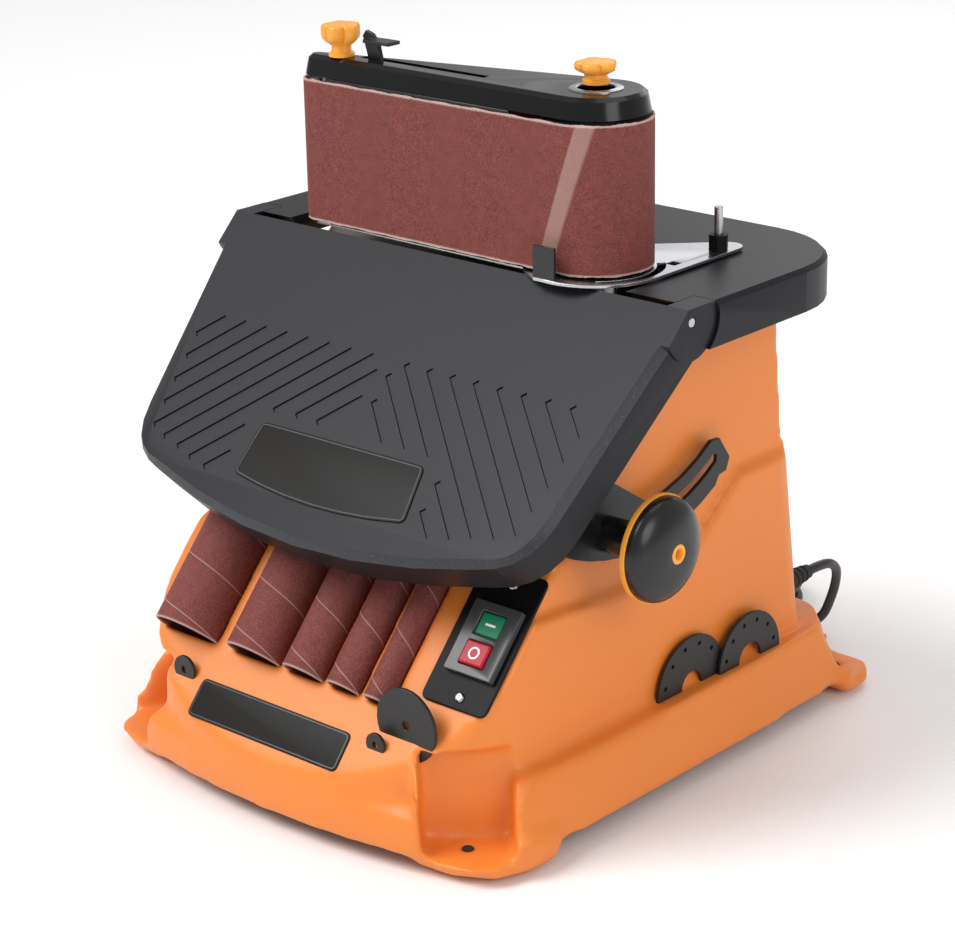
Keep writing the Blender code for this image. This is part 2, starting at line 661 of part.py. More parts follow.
# ---------------------------------------------------------------- tables
def build_fixed_table():
    """Cast table: plate, rim, belt opening, round notches and bosses for the hinge."""
    r = TABLE_CORNER

    def plan(inset):
        points = [(-TABLE_HALF + inset, HINGE_Y - 2 + inset), (TABLE_HALF - inset, HINGE_Y - 2 + inset)]
        points += arc((TABLE_HALF - r, TABLE_REAR - r), r - inset, 0, 90, 8)
        return points + arc((r - TABLE_HALF, TABLE_REAR - r), r - inset, 90, 180, 8)

    floor = TABLE_TOP - TABLE_SKIRT
    rings = [at_height(plan(0), floor), at_height(plan(0), TABLE_TOP - 3), at_height(plan(3),
        TABLE_TOP)]
    table = make("fixed_table", rings, "cast_table")
    cut(table, prism("under_pocket", plan(TABLE_RIM), floor - 10, TABLE_TOP - TABLE_PLATE))
    opening = rounded(-158, 147, -90, 49, 22, 5)
    cut(table, prism("belt_opening", opening, floor - 20, TABLE_TOP + 10))
    sweep = math.hypot(HINGE_DROP, HINGE_LEAD) + 0.6
    cut(table, rod("front_sweep", HINGE, (1, 0, 0), sweep, -260, 260, steps=32))
    front = TABLE_FRONT + 4
    cut(table, box("front_trim", -260, 260, -60, front, floor - 5, HINGE.z + 1))
    for sign in (-1, 1):
        place = HINGE + Vector((sign * (EAR_IN - 0.7), 0, 0))
        ends = sorted((0.0, sign * 60.0))
        cut(table, rod("ear_notch_%d" % sign, place, (1, 0, 0), EAR_R + 0.7, *ends, steps=40))
        inner, outer = sorted((sign * 175.0, sign * (EAR_IN - 1.3)))
        knuckle = arc((HINGE_Y, HINGE.z), BOSS_R, 0, 270, 18)
        low = HINGE.z - BOSS_R
        knuckle += [(front + 2, low), (front + 2, floor + 1), (front + 8, floor + 1),
                    (front + 8, HINGE.z + 5),
                    (front + 3.5, HINGE.z + 5), (front + 3.5, HINGE.z)]
        weld(table, side_prism("knuckle_%d" % sign, knuckle, inner, outer))
        cut(table, rod("pin_hole_%d" % sign, (0, HINGE_Y, HINGE.z), (1, 0, 0), PIN_R + 0.1,
                       inner - 5, outer + 5, steps=24))
    return table


def build_hinge_pins():
    for name, sign in (("right", 1), ("left", -1)):
        ends = sorted((sign * 176.0, sign * (TILT_HALF - 0.5)))
        rod("hinge_pin_" + name, (0, HINGE_Y, HINGE.z), (1, 0, 0), PIN_R - 0.3, *ends, "bright_steel")


def ear_outline(radius):
    """Round ear about the hinge axis, flat where the table top and the rest-level face cut it."""
    limit = math.degrees(math.asin(HINGE_DROP / radius))
    low = arc((0, 0), radius, 180 - limit + TILT_REST, 360 + limit, 20)
    level = HINGE_DROP * math.tan(math.radians(TILT_REST / 2))
    points = low + [(-level, HINGE_DROP)]
    return [(y + HINGE_Y, z + HINGE.z) for y, z in points]


def build_tilt_table():
    """Tilting table as a cast tray, with round ears that turn on the hinge pins."""
    rings = [at_height(tilt_plan(0.0), -TABLE_SKIRT), at_height(tilt_plan(0.0), -TILT_CHAMFER),
             at_height(tilt_plan(TILT_CHAMFER), 0.0)]
    frame = tilt_matrix()
    table = make("tilt_table", rings, "cast_table", matrix=frame)
    pocket = [at_height(tilt_plan(TABLE_RIM, rear=-20.0), z) for z in (-TABLE_SKIRT - 12, -TILT_PLATE)]
    cut(table, make("tilt_pocket", pocket, "rubber", matrix=frame))
    for sign in (-1, 1):
        inner, outer = sorted((sign * EAR_IN, sign * (TILT_HALF - 0.6)))
        weld(table, side_prism("ear_%d" % sign, ear_outline(EAR_R), inner, outer))
    cut(table, prism("rear_level", rectangle(-260, 260, -60, 40), TABLE_TOP, TABLE_TOP + 30))
    for sign in (-1, 1):
        inner, outer = sorted((sign * 174.4, sign * (EAR_IN + 0.6)))
        cut(table, rod("boss_pocket_%d" % sign, (0, HINGE_Y, HINGE.z), (1, 0, 0), BOSS_R + 0.5,
                       inner, outer, steps=22))
        ends = sorted((sign * (EAR_IN - 3), sign * 230.0))
        cut(table, rod("ear_bore_%d" % sign, (0, HINGE_Y, HINGE.z), (1, 0, 0), PIN_R, *ends))
    return table


def stud_centre():
    a = math.radians(STUD_ANGLE)
    return HINGE + Vector((0, SLOT_R * math.sin(a), -SLOT_R * math.cos(a)))


def quadrant_outline():
    """Arc band about the hinge with a foot that reaches up under the tilting table."""
    def polar(radius, angle):
        a = math.radians(angle)
        return (HINGE_Y + radius * math.sin(a), HINGE.z - radius * math.cos(a))

    points = [polar(QUAD_OUT_R, a) for a in (-24, -18, -12, -6, 0, 6, 12, 18, 24, 30)]
    points += [polar(QUAD_OUT_R - 3.5, 32.5), polar(QUAD_OUT_R, 35.0)]
    points += [polar(QUAD_OUT_R - 5, 38.0), polar(QUAD_IN_R + 6, 38.4), polar(QUAD_IN_R, 35.5)]
    points += [polar(QUAD_IN_R, a) for a in (28, 20, 12, 4)]
    under = TILT_EDGE + OUT_TILT * (-TILT_PLATE - GAP)
    near = under + DOWN_TILT * 112.0
    far = under + DOWN_TILT * 176.0
    return points + [(near.y, near.z), (far.y, far.z)]


def slot_outline():
    def polar(radius, angle):
        a = math.radians(angle)
        return (HINGE_Y + radius * math.sin(a), HINGE.z - radius * math.cos(a))

    start, end = STUD_ANGLE - 1.0, STUD_ANGLE + TILT_REST + 1.0
    steps = 12
    angles = [start + (end - start) * i / steps for i in range(steps + 1)]
    round_end = [polar(SLOT_R, end + 1.3)]
    round_start = [polar(SLOT_R, start - 1.3)]
    outer = [polar(SLOT_R + SLOT_HALF, a) for a in angles]
    inner = [polar(SLOT_R - SLOT_HALF, a) for a in reversed(angles)]
    return outer + round_end + inner + round_start


def build_quadrants_and_knobs():
    stud = stud_centre()
    quadrants = []
    for name, sign in (("right", 1), ("left", -1)):
        inner, outer = sorted((sign * QUAD_X, sign * (QUAD_X + QUAD_T)))
        plate = side_prism("tilt_quadrant_" + name, quadrant_outline(), inner, outer, "black_steel")
        cut(plate, side_prism("slot_" + name, slot_outline(), sign * QUAD_X - 20, sign * QUAD_X + 20))
        quadrants.append(plate)
        start = QUAD_X + QUAD_T + GAP
        face = KNOB_FACE
        profile = [(0, 140), (STUD_R, 140), (STUD_R, start), (12, start), (12, face - 10),
                   (KNOB_R - 4, face - 8),
                   (KNOB_R, face - 4), (KNOB_R, face)]
        for i in range(1, 6):
            a = math.radians(90 * i / 6)
            profile.append((KNOB_R * math.cos(a), face + KNOB_DOME * math.sin(a)))
        profile += [(6.0, face + KNOB_DOME - 0.6), (6.0, face + KNOB_DOME - 6),
                    (0, face + KNOB_DOME - 6)]
        knob = turned("tilt_knob_" + name, profile, (0, stud.y, stud.z), "knob_black", (sign, 0, 0),
                      steps=36)
        joint_axis("tilt_knob_%s_axis" % name, (sign * face, stud.y, stud.z), [knob])
    return quadrants


# ---------------------------------------------------------------- belt unit
def belt_outline(inset):
    drum = (SPINDLE_X, SPINDLE_Y)
    idler = (IDLER_X, IDLER_Y)
    return belt_loop(drum, DRUM_R + GAP + BELT_T - inset, idler, IDLER_R + GAP + BELT_T - inset)


def build_belt_unit():
    """The parts that rise and fall with the spindle but don't turn."""
    arm = circle((SPINDLE_X, SPINDLE_Y), RING_R) + circle((GUIDE_X - 1, GUIDE_Y + 12), 10, 20)
    plate = prism("belt_base_plate", hull(arm), UNIT_Z, UNIT_Z + UNIT_T, "bright_steel")
    inner = belt_outline(BELT_T + 4.0)
    web = [p for p in inner if p[0] < 70] + [(96, SPINDLE_Y - 34), (96, SPINDLE_Y + 34)]
    weld(plate, prism("web", hull(web), UNIT_Z, UNIT_Z + UNIT_T))
    crescent = arc((SPINDLE_X, SPINDLE_Y), 45.5, -52, 46, 10) + arc((SPINDLE_X, SPINDLE_Y), 39.5, 46,
        -52, 10)
    cut(plate, rod("shaft_hole", (SPINDLE_X, SPINDLE_Y, UNIT_Z), (0, 0, 1), 14, -5, 9),
        prism("crescent", crescent, UNIT_Z - 5, UNIT_Z + 9),
        prism("square_hole", rectangle(133, 141, 33, 41), UNIT_Z - 5, UNIT_Z + 9),
        rod("bush_hole", (GUIDE_X, GUIDE_Y, UNIT_Z), (0, 0, 1), 4.2, -5, 9))
    tab = box("tab", 86, 104, -45.5, -43.5, UNIT_Z, UNIT_Z + 24)
    weld(plate, tab, box("tab_foot", 86, 104, -45.5, -38, UNIT_Z, UNIT_Z + UNIT_T))

    hexagon = [(GUIDE_X + 7 * math.cos(math.radians(60 * i)),
                GUIDE_Y + 7 * math.sin(math.radians(60 * i)))
               for i in range(6)]
    bush = prism("guide_bush", hexagon, UNIT_Z + UNIT_T + GAP, UNIT_Z + UNIT_T + 11, "black_panel")
    cut(bush, rod("bush_bore", (GUIDE_X, GUIDE_Y, UNIT_Z), (0, 0, 1), GUIDE_R + 0.4, -5, 30))
    rod("guide_pin", (GUIDE_X, GUIDE_Y, TABLE_TOP + GAP), (0, 0, 1), GUIDE_R, 0, 33, "bright_steel")

    belt = pipe("sanding_belt", belt_outline(0), belt_outline(BELT_T), BELT_Z, BELT_Z + BELT_W,
                "abrasive")

    drop = COVER_INSET + COVER_DRAFT
    rings = [at_height(belt_outline(COVER_INSET), COVER_Z), at_height(belt_outline(drop - 1),
        COVER_TOP - 2.5),
             at_height(belt_outline(drop + 2), COVER_TOP)]
    cover = make("belt_top_cover", rings, "gloss_black")
    under = [at_height(belt_outline(COVER_INSET + COVER_T), COVER_Z - 5),
             at_height(belt_outline(drop + COVER_T), COVER_TOP - COVER_T)]
    cut(cover, make("cover_pocket", under, "rubber"),
        rod("knob_hole", (SPINDLE_X, SPINDLE_Y, COVER_TOP), (0, 0, 1), COVER_HOLE, -8, 8, steps=32),
        box("lever_slot", -92, 20, LEVER_Y - 3.2, LEVER_Y + 3.2, COVER_TOP - 8, COVER_TOP + 8),
        rod("track_hole", (TRACK_X, TRACK_Y, COVER_TOP), (0, 0, 1), 4.6, -8, 8))

    loop = belt_outline(BELT_T + GAP)
    right, left = Vector(loop[0]), Vector(loop[-1])
    along = (left - right).normalized()
    inward = Vector((along.y, -along.x))

    def strip(start, end, near, far):
        """Strip behind the belt's front run: start and end measured from the drum's side."""
        a, b = right + along * start, right + along * end
        return [tuple(p) for p in (a + inward * near, b + inward * near, b + inward * far,
                                   a + inward * far)]

    platen = prism("platen", strip(44, 212, 0.0, 3.0), UNIT_Z + UNIT_T + GAP, COVER_Z - GAP,
                   "bright_steel")
    weld(platen, prism("platen_foot", strip(52, 160, 1.5, 14), UNIT_Z + UNIT_T + GAP,
                       UNIT_Z + UNIT_T + 2.6))

    top = UNIT_Z - GAP
    quill = turned("quill", [(QUILL_R, 215), (QUILL_R, top - 6), (QUILL_R + 4, top - 6),
                             (QUILL_R + 4, top),
                             (SHAFT_R + 1.5, top), (SHAFT_R + 1.5, top - 5), (16, top - 5), (16, 215)],
                   (SPINDLE_X, SPINDLE_Y, 0), "bright_steel")
    bearings = []
    for name, z in (("upper", top - 18), ("lower", 222.0)):
        bearings.append(turned("bearing_" + name, [(15.7, z), (15.7, z + 11), (SHAFT_R + GAP, z + 11),
                                                   (SHAFT_R + GAP, z)],
                               (SPINDLE_X, SPINDLE_Y, 0), "bright_steel", steps=32))
    return [plate, bush, belt, cover, platen, quill] + bearings




def build_tension_gear():
    """Idler drum on its arm, spring, lever and tracking knob."""
    idler = turned("idler_drum", [(IDLER_R, BELT_Z + 1), (IDLER_R, BELT_Z + BELT_W - 2),
                                  (3.4, BELT_Z + BELT_W - 2),
                                  (3.4, BELT_Z + 1)], (IDLER_X, IDLER_Y, 0), "bright_steel", steps=28)
    axle = rod("idler_arm", (IDLER_X, IDLER_Y, 0), (0, 0, 1), 3.0, UNIT_Z + UNIT_T + 0.4, 460.0,
               "bright_steel")
    bar = (424.0, 436.0)
    reach = IDLER_X + IDLER_R + 2.5
    weld(axle, box("arm_head", IDLER_X - 3, reach + 5, IDLER_Y - 4, IDLER_Y + 4, 455.4, 460),
         box("arm_drop", reach, reach + 5, IDLER_Y - 4, IDLER_Y + 4, bar[0], 460),
         box("arm_bar", reach, -52, IDLER_Y + 1.0, IDLER_Y + 4, *bar))
    lever_plate = [(-8, -6), (6, -6), (8, 4), (-38, 38), (-41, 50), (-46, 56), (-52, 58), (-55, 54),
                   (-50, 38),
                   (-46, 30)]
    outline = [(LEVER_X + x, LEVER_Z + z) for x, z in lever_plate]
    rings = [[(x, y, z) for x, z in outline] for y in (LEVER_Y - 1.6, LEVER_Y + 1.6)]
    lever = make("tension_lever", rings, "black_steel")
    weld(lever, box("lever_tab", LEVER_X - 51, LEVER_X - 27, LEVER_Y - 6, LEVER_Y + 6, LEVER_Z + 50,
                    LEVER_Z + 52.5))
    knob = make("tracking_knob", [at_height(star((TRACK_X, TRACK_Y), 9.0, 0.0), COVER_TOP + GAP),
                                  at_height(star((TRACK_X, TRACK_Y), 9.0, 0.0), COVER_TOP + 3.0),
                                  at_height(star((TRACK_X, TRACK_Y), 6.5, 0.0), COVER_TOP + 3.0),
                                  at_height(star((TRACK_X, TRACK_Y), 7.0, 0.0), COVER_TOP + 8.0),
                                  at_height(star((TRACK_X, TRACK_Y), 13.4, 3.0), COVER_TOP + 11.0),
                                  at_height(star((TRACK_X, TRACK_Y), 14.0, 3.0), COVER_TOP + 20.0),
                                  at_height(star((TRACK_X, TRACK_Y), 12.0, 2.5), COVER_TOP + 22.5)],
                                  "knob_orange")
    weld(knob, rod("track_stud", (TRACK_X, TRACK_Y, 0), (0, 0, 1), 3.6, 460.6, COVER_TOP + 6))
    joint_axis("lever_axis", (LEVER_X, LEVER_Y, LEVER_Z), [lever])
    joint_axis("tracking_knob_axis", (TRACK_X, TRACK_Y, COVER_TOP), [knob])
    return idler, axle


def build_spindle():
    """Shaft with the rubber drum, its washer and the star knob that holds it."""
    shaft = turned("spindle", [(0, 92), (SHAFT_R - 0.5, 92), (SHAFT_R - 0.5, 215), (SHAFT_R, 215),
                               (SHAFT_R, 352),
                               (SHAFT_R, 457.6), (4.0, 457.6), (4.0, 468), (0, 468)],
                   (SPINDLE_X, SPINDLE_Y, 0), "bright_steel", steps=28)
    drum = turned("drive_drum", [(DRUM_R, BELT_Z + 0.6), (DRUM_R, BELT_Z + BELT_W - 0.6),
                                 (SHAFT_R + GAP, BELT_Z + BELT_W - 0.6), (SHAFT_R + GAP, BELT_Z + 0.6)],
                  (SPINDLE_X, SPINDLE_Y, 0), "rubber", steps=48)
    low = BELT_Z + BELT_W
    washer = turned("drum_washer", [(15.5, low), (15.5, low + 2.2), (SHAFT_R + GAP, low + 2.2),
                                    (SHAFT_R + GAP, low)],
                    (SPINDLE_X, SPINDLE_Y, 0), "bright_steel", steps=32)
    centre = (SPINDLE_X, SPINDLE_Y)
    knob = make("drum_knob", [at_height(star(centre, 12.0, 0.0), low + 3.2),
                              at_height(star(centre, 12.0, 0.0), low + 8),
                              at_height(star(centre, 9.0, 0.0), low + 9),
                              at_height(star(centre, 9.0, 0.0), low + 16),
                              at_height(star(centre, 13.8, 3.0), low + 19),
                              at_height(star(centre, 14.4, 3.0), low + 31),
                              at_height(star(centre, 12.4, 2.6), low + 34)], "knob_orange")
    cut(knob, rod("knob_bore", (SPINDLE_X, SPINDLE_Y, low), (0, 0, 1), 4.4, -2, 16),
        rod("knob_counterbore", (SPINDLE_X, SPINDLE_Y, low), (0, 0, 1), SHAFT_R + 0.4, -2, 3.6))
    return [shaft, drum, washer, knob]


# ---------------------------------------------------------------- drive below the table
def build_drive():
    frame_plan = hull(circle((MOTOR_X, MOTOR_Y), 56, 32) + circle((SPINDLE_X, SPINDLE_Y), 36, 32)
                      + circle((104, 74), 10, 12) + circle((-92, 104), 10, 12))
    frame = prism("drive_frame", frame_plan, *FRAME_Z, "cast_alloy")
    weld(frame, rod("quill_tower", (SPINDLE_X, SPINDLE_Y, 0), (0, 0, 1), 28, FRAME_Z[0] + 1, 300))
    for number, (x, y) in enumerate(((104, 74), (-92, 108), (20, 104)), 1):
        weld(frame, rod("post_%d" % number, (x, y, 0), (0, 0, 1), 7, FRAME_Z[0] + 1, HOUSING_TOP))
    cut(frame, rod("quill_bore", (SPINDLE_X, SPINDLE_Y, 0), (0, 0, 1), QUILL_R + GAP, 100, 330),
        rod("motor_hole", (MOTOR_X, MOTOR_Y, 0), (0, 0, 1), 15, 100, 330, steps=22))
    wheel_y = SPINDLE_Y - WORM_R - WHEEL_R - 0.6
    wheel_z = (PULLEY_Z[1] + FRAME_Z[0]) / 2
    for side in (-1, 1):
        x0, x1 = sorted((SPINDLE_X + side * 12, SPINDLE_X + side * 16))
        weld(frame, box("wheel_lug_%d" % side, x0, x1, wheel_y - 7, wheel_y + 7, wheel_z - 8,
                        FRAME_Z[0] + 2))
    cut(frame, rod("axle_hole", (SPINDLE_X, wheel_y, wheel_z), (1, 0, 0), 4.4, -30, 30))

    teeth = []
    for i in range(WHEEL_TEETH * 4):
        a = 2 * math.pi * i / (WHEEL_TEETH * 4)
        r = WHEEL_R if i % 4 in (1, 2) else WHEEL_R - 1.4
        teeth.append((wheel_y + r * math.cos(a), wheel_z + r * math.sin(a)))
    wheel = side_prism("worm_wheel", teeth, SPINDLE_X - 5, SPINDLE_X + 5, "brass")
    weld(wheel, rod("wheel_axle", (SPINDLE_X, wheel_y, wheel_z), (1, 0, 0), 4.0, -18, 18),
         rod("crank_pin", (SPINDLE_X, wheel_y, wheel_z + 10), (1, 0, 0), 3.0, 0, 10.5))
    joint_axis("worm_wheel_axis", (SPINDLE_X, wheel_y, wheel_z), [wheel])

    z0, z1 = PULLEY_Z
    pulley = turned("spindle_pulley", [(SPINDLE_PULLEY, z0 + 3), (SPINDLE_PULLEY, z1 - 3),
                                       (SPINDLE_PULLEY + 4, z1 - 3),
                                       (SPINDLE_PULLEY + 4, z1), (WORM_R, z1), (WORM_R, 162),
                                       (SHAFT_R + 0.2, 162),
                                       (SHAFT_R + 0.2, z0), (SPINDLE_PULLEY + 4, z0),
                                       (SPINDLE_PULLEY + 4, z0 + 3)],
                    (SPINDLE_X, SPINDLE_Y, 0), "cast_alloy", steps=36)
    joint_axis("spindle_pulley_axis", (SPINDLE_X, SPINDLE_Y, z0), [pulley])

    loop = [belt_loop((SPINDLE_X, SPINDLE_Y), SPINDLE_PULLEY + GAP + t, (MOTOR_X, MOTOR_Y),
                      MOTOR_PULLEY + GAP + t, 16)
            for t in (DRIVE_BELT_T, 0.0)]
    pipe("drive_belt", *loop, z0 + 3.6, z1 - 3.6, "rubber")

    low, high = MOTOR_Z
    turned("motor_housing", [(MOTOR_R - 6, low), (MOTOR_R, low + 6), (MOTOR_R, high - 8),
                             (MOTOR_R - 8, high), (9, high),
                             (9, high - 4), (42, high - 6), (42, high - 26), (30, high - 28),
                             (30, low + 14),
                             (8, low + 8), (8, low)], (MOTOR_X, MOTOR_Y, 0), "cast_alloy", steps=36)
    rotor = turned("motor_rotor", [(0, z0 - 3), (7, z0 - 3), (7, z0), (MOTOR_PULLEY + 3, z0),
                                   (MOTOR_PULLEY + 3, z0 + 3),
                                   (MOTOR_PULLEY, z0 + 3), (MOTOR_PULLEY, z1 - 3), (MOTOR_PULLEY + 3,
                                       z1 - 3),
                                   (MOTOR_PULLEY + 3, z1), (7, z1), (7, low + 18), (28, low + 18),
                                   (28, high - 34),
                                   (7, high - 34), (7, high - 22), (38, high - 22), (38, high - 12),
                                   (7, high - 12),
                                   (7, high - 1), (0, high - 1)], (MOTOR_X, MOTOR_Y, 0), "bright_steel",
                                   steps=36)
    joint_axis("motor_axis", (MOTOR_X, MOTOR_Y, z0), [rotor])




# ---------------------------------------------------------------- cord
CORD_ROUTE = (
    (137.0, 201.0, 84.0), (137.0, 215.0, 83.6), (135.0, 232.0, 80.0), (130.0, 247.0, 70.0),
    (121.0, 258.0, 54.0),
    (112.0, 265.0, 36.0), (103.0, 270.0, 18.0), (92.0, 273.0, 7.5), (78.0, 275.0, 4.2),
    (66.0, 274.0, 3.9),
)


def smooth_route(route, steps):
    """Catmull-Rom curve through the route's points."""
    ends = [Vector(route[0]) * 2 - Vector(route[1])] + [Vector(p) for p in route]
    ends.append(Vector(route[-1]) * 2 - Vector(route[-2]))
    points = []
    for a, b, c, d in zip(ends, ends[1:], ends[2:], ends[3:]):
        for i in range(steps):
            t = i / steps
            points.append(0.5 * ((2 * b) + (c - a) * t + (2 * a - 5 * b + 4 * c - d) * t * t
                                 + (3 * b - a - 3 * c + d) * t ** 3))
    return points + [Vector(route[-1])]


def build_cord():
    """Cord from the gland to the coil that stores the rest of it, and its plug."""
    data = bpy.data.curves.new("power_cord", 'CURVE')
    data.dimensions = '3D'
    data.bevel_depth = CORD_R * MM
    data.bevel_resolution = 2
    data.use_fill_caps = True
    spline = data.splines.new('POLY')
    points = smooth_route(CORD_ROUTE, 2)
    spline.points.add(len(points) - 1)
    for point, place in zip(spline.points, points):
        point.co = (*(place * MM), 1.0)
    data.materials.append(finish("cord_jacket"))
    cord = bpy.data.objects.new("power_cord", data)
    bpy.context.scene.collection.objects.link(cord)

    inner, outer = COIL_MEAN - 3 * CORD_R, COIL_MEAN + 3 * CORD_R
    turned("cord_coil", [(inner + 2, GAP), (outer - 2, GAP), (outer, GAP + 2), (outer, 12.4),
                         (outer - 2, 14.4),
                         (inner + 2, 14.4), (inner, 12.4), (inner, GAP + 2)], (*COIL_XY, 0),
                         "cord_jacket", steps=36)
    px, py = COIL_XY[0] - 92, COIL_XY[1] - 8
    plug = prism("plug", rounded(px - 26, px + 20, py - 22, py + 22, 9), 0.4, 22.0, "cord_jacket")
    for number, (x, y) in enumerate(((0, 8), (-11, -8), (11, -8)), 1):
        weld(plug, box("plug_pin_%d" % number, px + x - 5, px + x - 1, py + y - 2, py + y + 2, 20, 36))


# ---------------------------------------------------------------- assembly
def main():
    for old in list(bpy.data.objects):
        bpy.data.objects.remove(old)
    build_housing()
    build_base_fittings()
    build_storage()
    build_switch()
    build_fixed_table()
    build_hinge_pins()
    tilting = [build_tilt_table()] + build_quadrants_and_knobs()
    joint_axis("tilt_axis", HINGE, tilting)
    carriage = build_belt_unit()
    joint_axis("carriage_axis", (SPINDLE_X, SPINDLE_Y, UNIT_Z), carriage)
    idler, arm = build_tension_gear()
    joint_axis("idler_axis", (IDLER_X, IDLER_Y, BELT_Z), [idler])
    joint_axis("idler_slide_axis", (IDLER_X, IDLER_Y, 430.0), [arm])
    joint_axis("spindle_axis", (SPINDLE_X, SPINDLE_Y, UNIT_Z), build_spindle())
    build_drive()
    build_cord()
    close_seams(bpy.data.objects)


main()
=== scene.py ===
"""Oscillating spindle sander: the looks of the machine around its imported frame, as a Blender add-on."""
import json
import math

import bmesh
import bpy
import numpy as np
from bpy.props import FloatProperty, FloatVectorProperty, IntProperty, PointerProperty
from mathutils import Matrix, Vector

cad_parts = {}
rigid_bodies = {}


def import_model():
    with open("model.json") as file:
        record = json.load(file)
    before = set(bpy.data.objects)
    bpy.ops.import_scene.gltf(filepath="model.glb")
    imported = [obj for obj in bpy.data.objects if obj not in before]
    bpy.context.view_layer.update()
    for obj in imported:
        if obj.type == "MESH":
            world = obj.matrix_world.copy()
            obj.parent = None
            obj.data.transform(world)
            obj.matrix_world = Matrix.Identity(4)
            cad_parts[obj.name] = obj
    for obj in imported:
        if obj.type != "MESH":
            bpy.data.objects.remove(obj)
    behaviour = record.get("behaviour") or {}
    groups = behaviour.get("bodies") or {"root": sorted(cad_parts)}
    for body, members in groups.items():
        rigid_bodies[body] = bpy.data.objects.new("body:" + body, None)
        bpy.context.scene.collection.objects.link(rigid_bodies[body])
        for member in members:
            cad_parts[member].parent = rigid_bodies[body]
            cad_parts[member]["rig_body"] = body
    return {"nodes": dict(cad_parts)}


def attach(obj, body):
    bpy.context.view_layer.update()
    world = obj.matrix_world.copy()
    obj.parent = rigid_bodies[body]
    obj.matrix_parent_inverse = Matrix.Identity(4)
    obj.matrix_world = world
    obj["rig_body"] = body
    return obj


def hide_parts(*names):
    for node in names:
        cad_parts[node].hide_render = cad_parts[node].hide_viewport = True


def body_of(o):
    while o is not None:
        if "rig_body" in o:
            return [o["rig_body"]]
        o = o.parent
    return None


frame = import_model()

bl_info = {
    "name": "Spindle Sander",
    "version": (1, 0, 0),
    "blender": (4, 5, 0),
    "location": "View3D > Sidebar > Sander",
    "description": "Builds the finished surfaces of a bench spindle sander around its frame",
    "category": "Object",
}

MM = 0.001

# ---------------------------------------------------------------- layout of the machine, millimetres
TILT_EDGE = np.array([0.0, -33.748, 349.98])      # rear edge of the tilting face at rest
TILT_DOWN = np.array([0.0, -math.sqrt(0.5), -math.sqrt(0.5)])
TILT_OUT = np.array([0.0, -math.sqrt(0.5), math.sqrt(0.5)])
SLOPE = math.radians(48.0)
SLOPE_FOOT = np.array([0.0, -229.0, 41.0 * math.tan(SLOPE)])
SLOPE_UP = np.array([0.0, math.cos(SLOPE), math.sin(SLOPE)])
SLOPE_OUT = np.array([0.0, -math.sin(SLOPE), math.cos(SLOPE)])
RIGHT = np.array([1.0, 0.0, 0.0])
DRUM = (100.0, 3.0, 37.9)
IDLER = (-127.0, -21.8, 11.0)
BELT_LOW, BELT_HIGH = 354.9, 454.9
SLEEVES = ((-110.5, 26.0), (-45.2, 22.0), (1.3, 16.5), (38.1, 13.0), (68.0, 10.0))
SLEEVE_FOOT, SLEEVE_LONG, SLEEVE_OUT = 66.5, 115.0, 0.4
TRACK_XY = (-106.0, -20.0)
INSERTS = ((160.6, 27.0, 37.0), (164.2, 89.0, 35.0))
LOCK_Y, LOCK_Z = -61.6, 198.46
KNOB_FACE = 206.0
FEET = (("front_right", 143, -182), ("front_left", -143, -182), ("rear_right", 158, 206),
        ("rear_left", -158, 206))
CORD_ROUTE = ((137, 198, 84), (137, 213, 83.7), (135.6, 229, 80.5), (131.5, 244, 71), (124, 255.5, 55),
              (114.5, 263.5, 36), (104.5, 268.5, 18.5), (92.5, 270, 8.2), (78.5, 267.8, 5.0),
              (65.5, 261.3, 4.6),
              (54, 253.8, 4.6))
COIL = (12.0, 286.0)
PLUG_END = (-58.5, 278.0, 11.3)


# ---------------------------------------------------------------- sizes and colours a user would change
class SanderBelt(bpy.types.PropertyGroup):
    """The abrasive belt."""
    grit: FloatProperty(name="Grit height", description="Height of the grain", default=0.00012, min=0.0,
                        max=0.001, unit="LENGTH", precision=5)
    colour: FloatVectorProperty(name="Grain colour", description="Colour of the abrasive", subtype="COLOR",
                                default=(0.165, 0.034, 0.027), min=0.0, max=1.0)


class SanderBody(bpy.types.PropertyGroup):
    """The moulded housing."""
    colour: FloatVectorProperty(name="Plastic colour", description="Colour of the housing", subtype="COLOR",
                                default=(0.80, 0.225, 0.035), min=0.0, max=1.0)
    voxel: FloatProperty(name="Rounding grid", description="Grid that the housing is remeshed on",
                         default=0.0026, min=0.001, max=0.01, unit="LENGTH", precision=4)
    rounding: IntProperty(name="Rounding steps", description="Smoothing steps that round its edges",
                          default=14, min=0, max=60)


class SanderTables(bpy.types.PropertyGroup):
    """The two cast tables."""
    colour: FloatVectorProperty(name="Paint colour", description="Colour of the cast tables", subtype="COLOR",
                                default=(0.0085, 0.0090, 0.0120), min=0.0, max=1.0)
    groove: FloatProperty(name="Groove depth", description="Depth of the pattern on the tilting table",
                          default=0.0011, min=0.0, max=0.003, unit="LENGTH", precision=4)


class SanderCord(bpy.types.PropertyGroup):
    """The mains cord."""
    length: FloatProperty(name="Length", description="Whole length of the cord", default=1.8, min=1.7,
                          max=1.9,
                          unit="LENGTH")
    diameter: FloatProperty(name="Diameter", description="Outside diameter", default=0.0072, min=0.005,
                            max=0.009, unit="LENGTH", precision=4)


class SanderStage(bpy.types.PropertyGroup):
    """Floor and light."""
    floor: FloatVectorProperty(name="Floor colour", description="Colour of the floor", subtype="COLOR",
                               default=(0.93, 0.93, 0.93), min=0.0, max=1.0)
    light: FloatProperty(name="Light", description="Strength of the studio lights", default=1.0, min=0.0,
                         max=10.0)


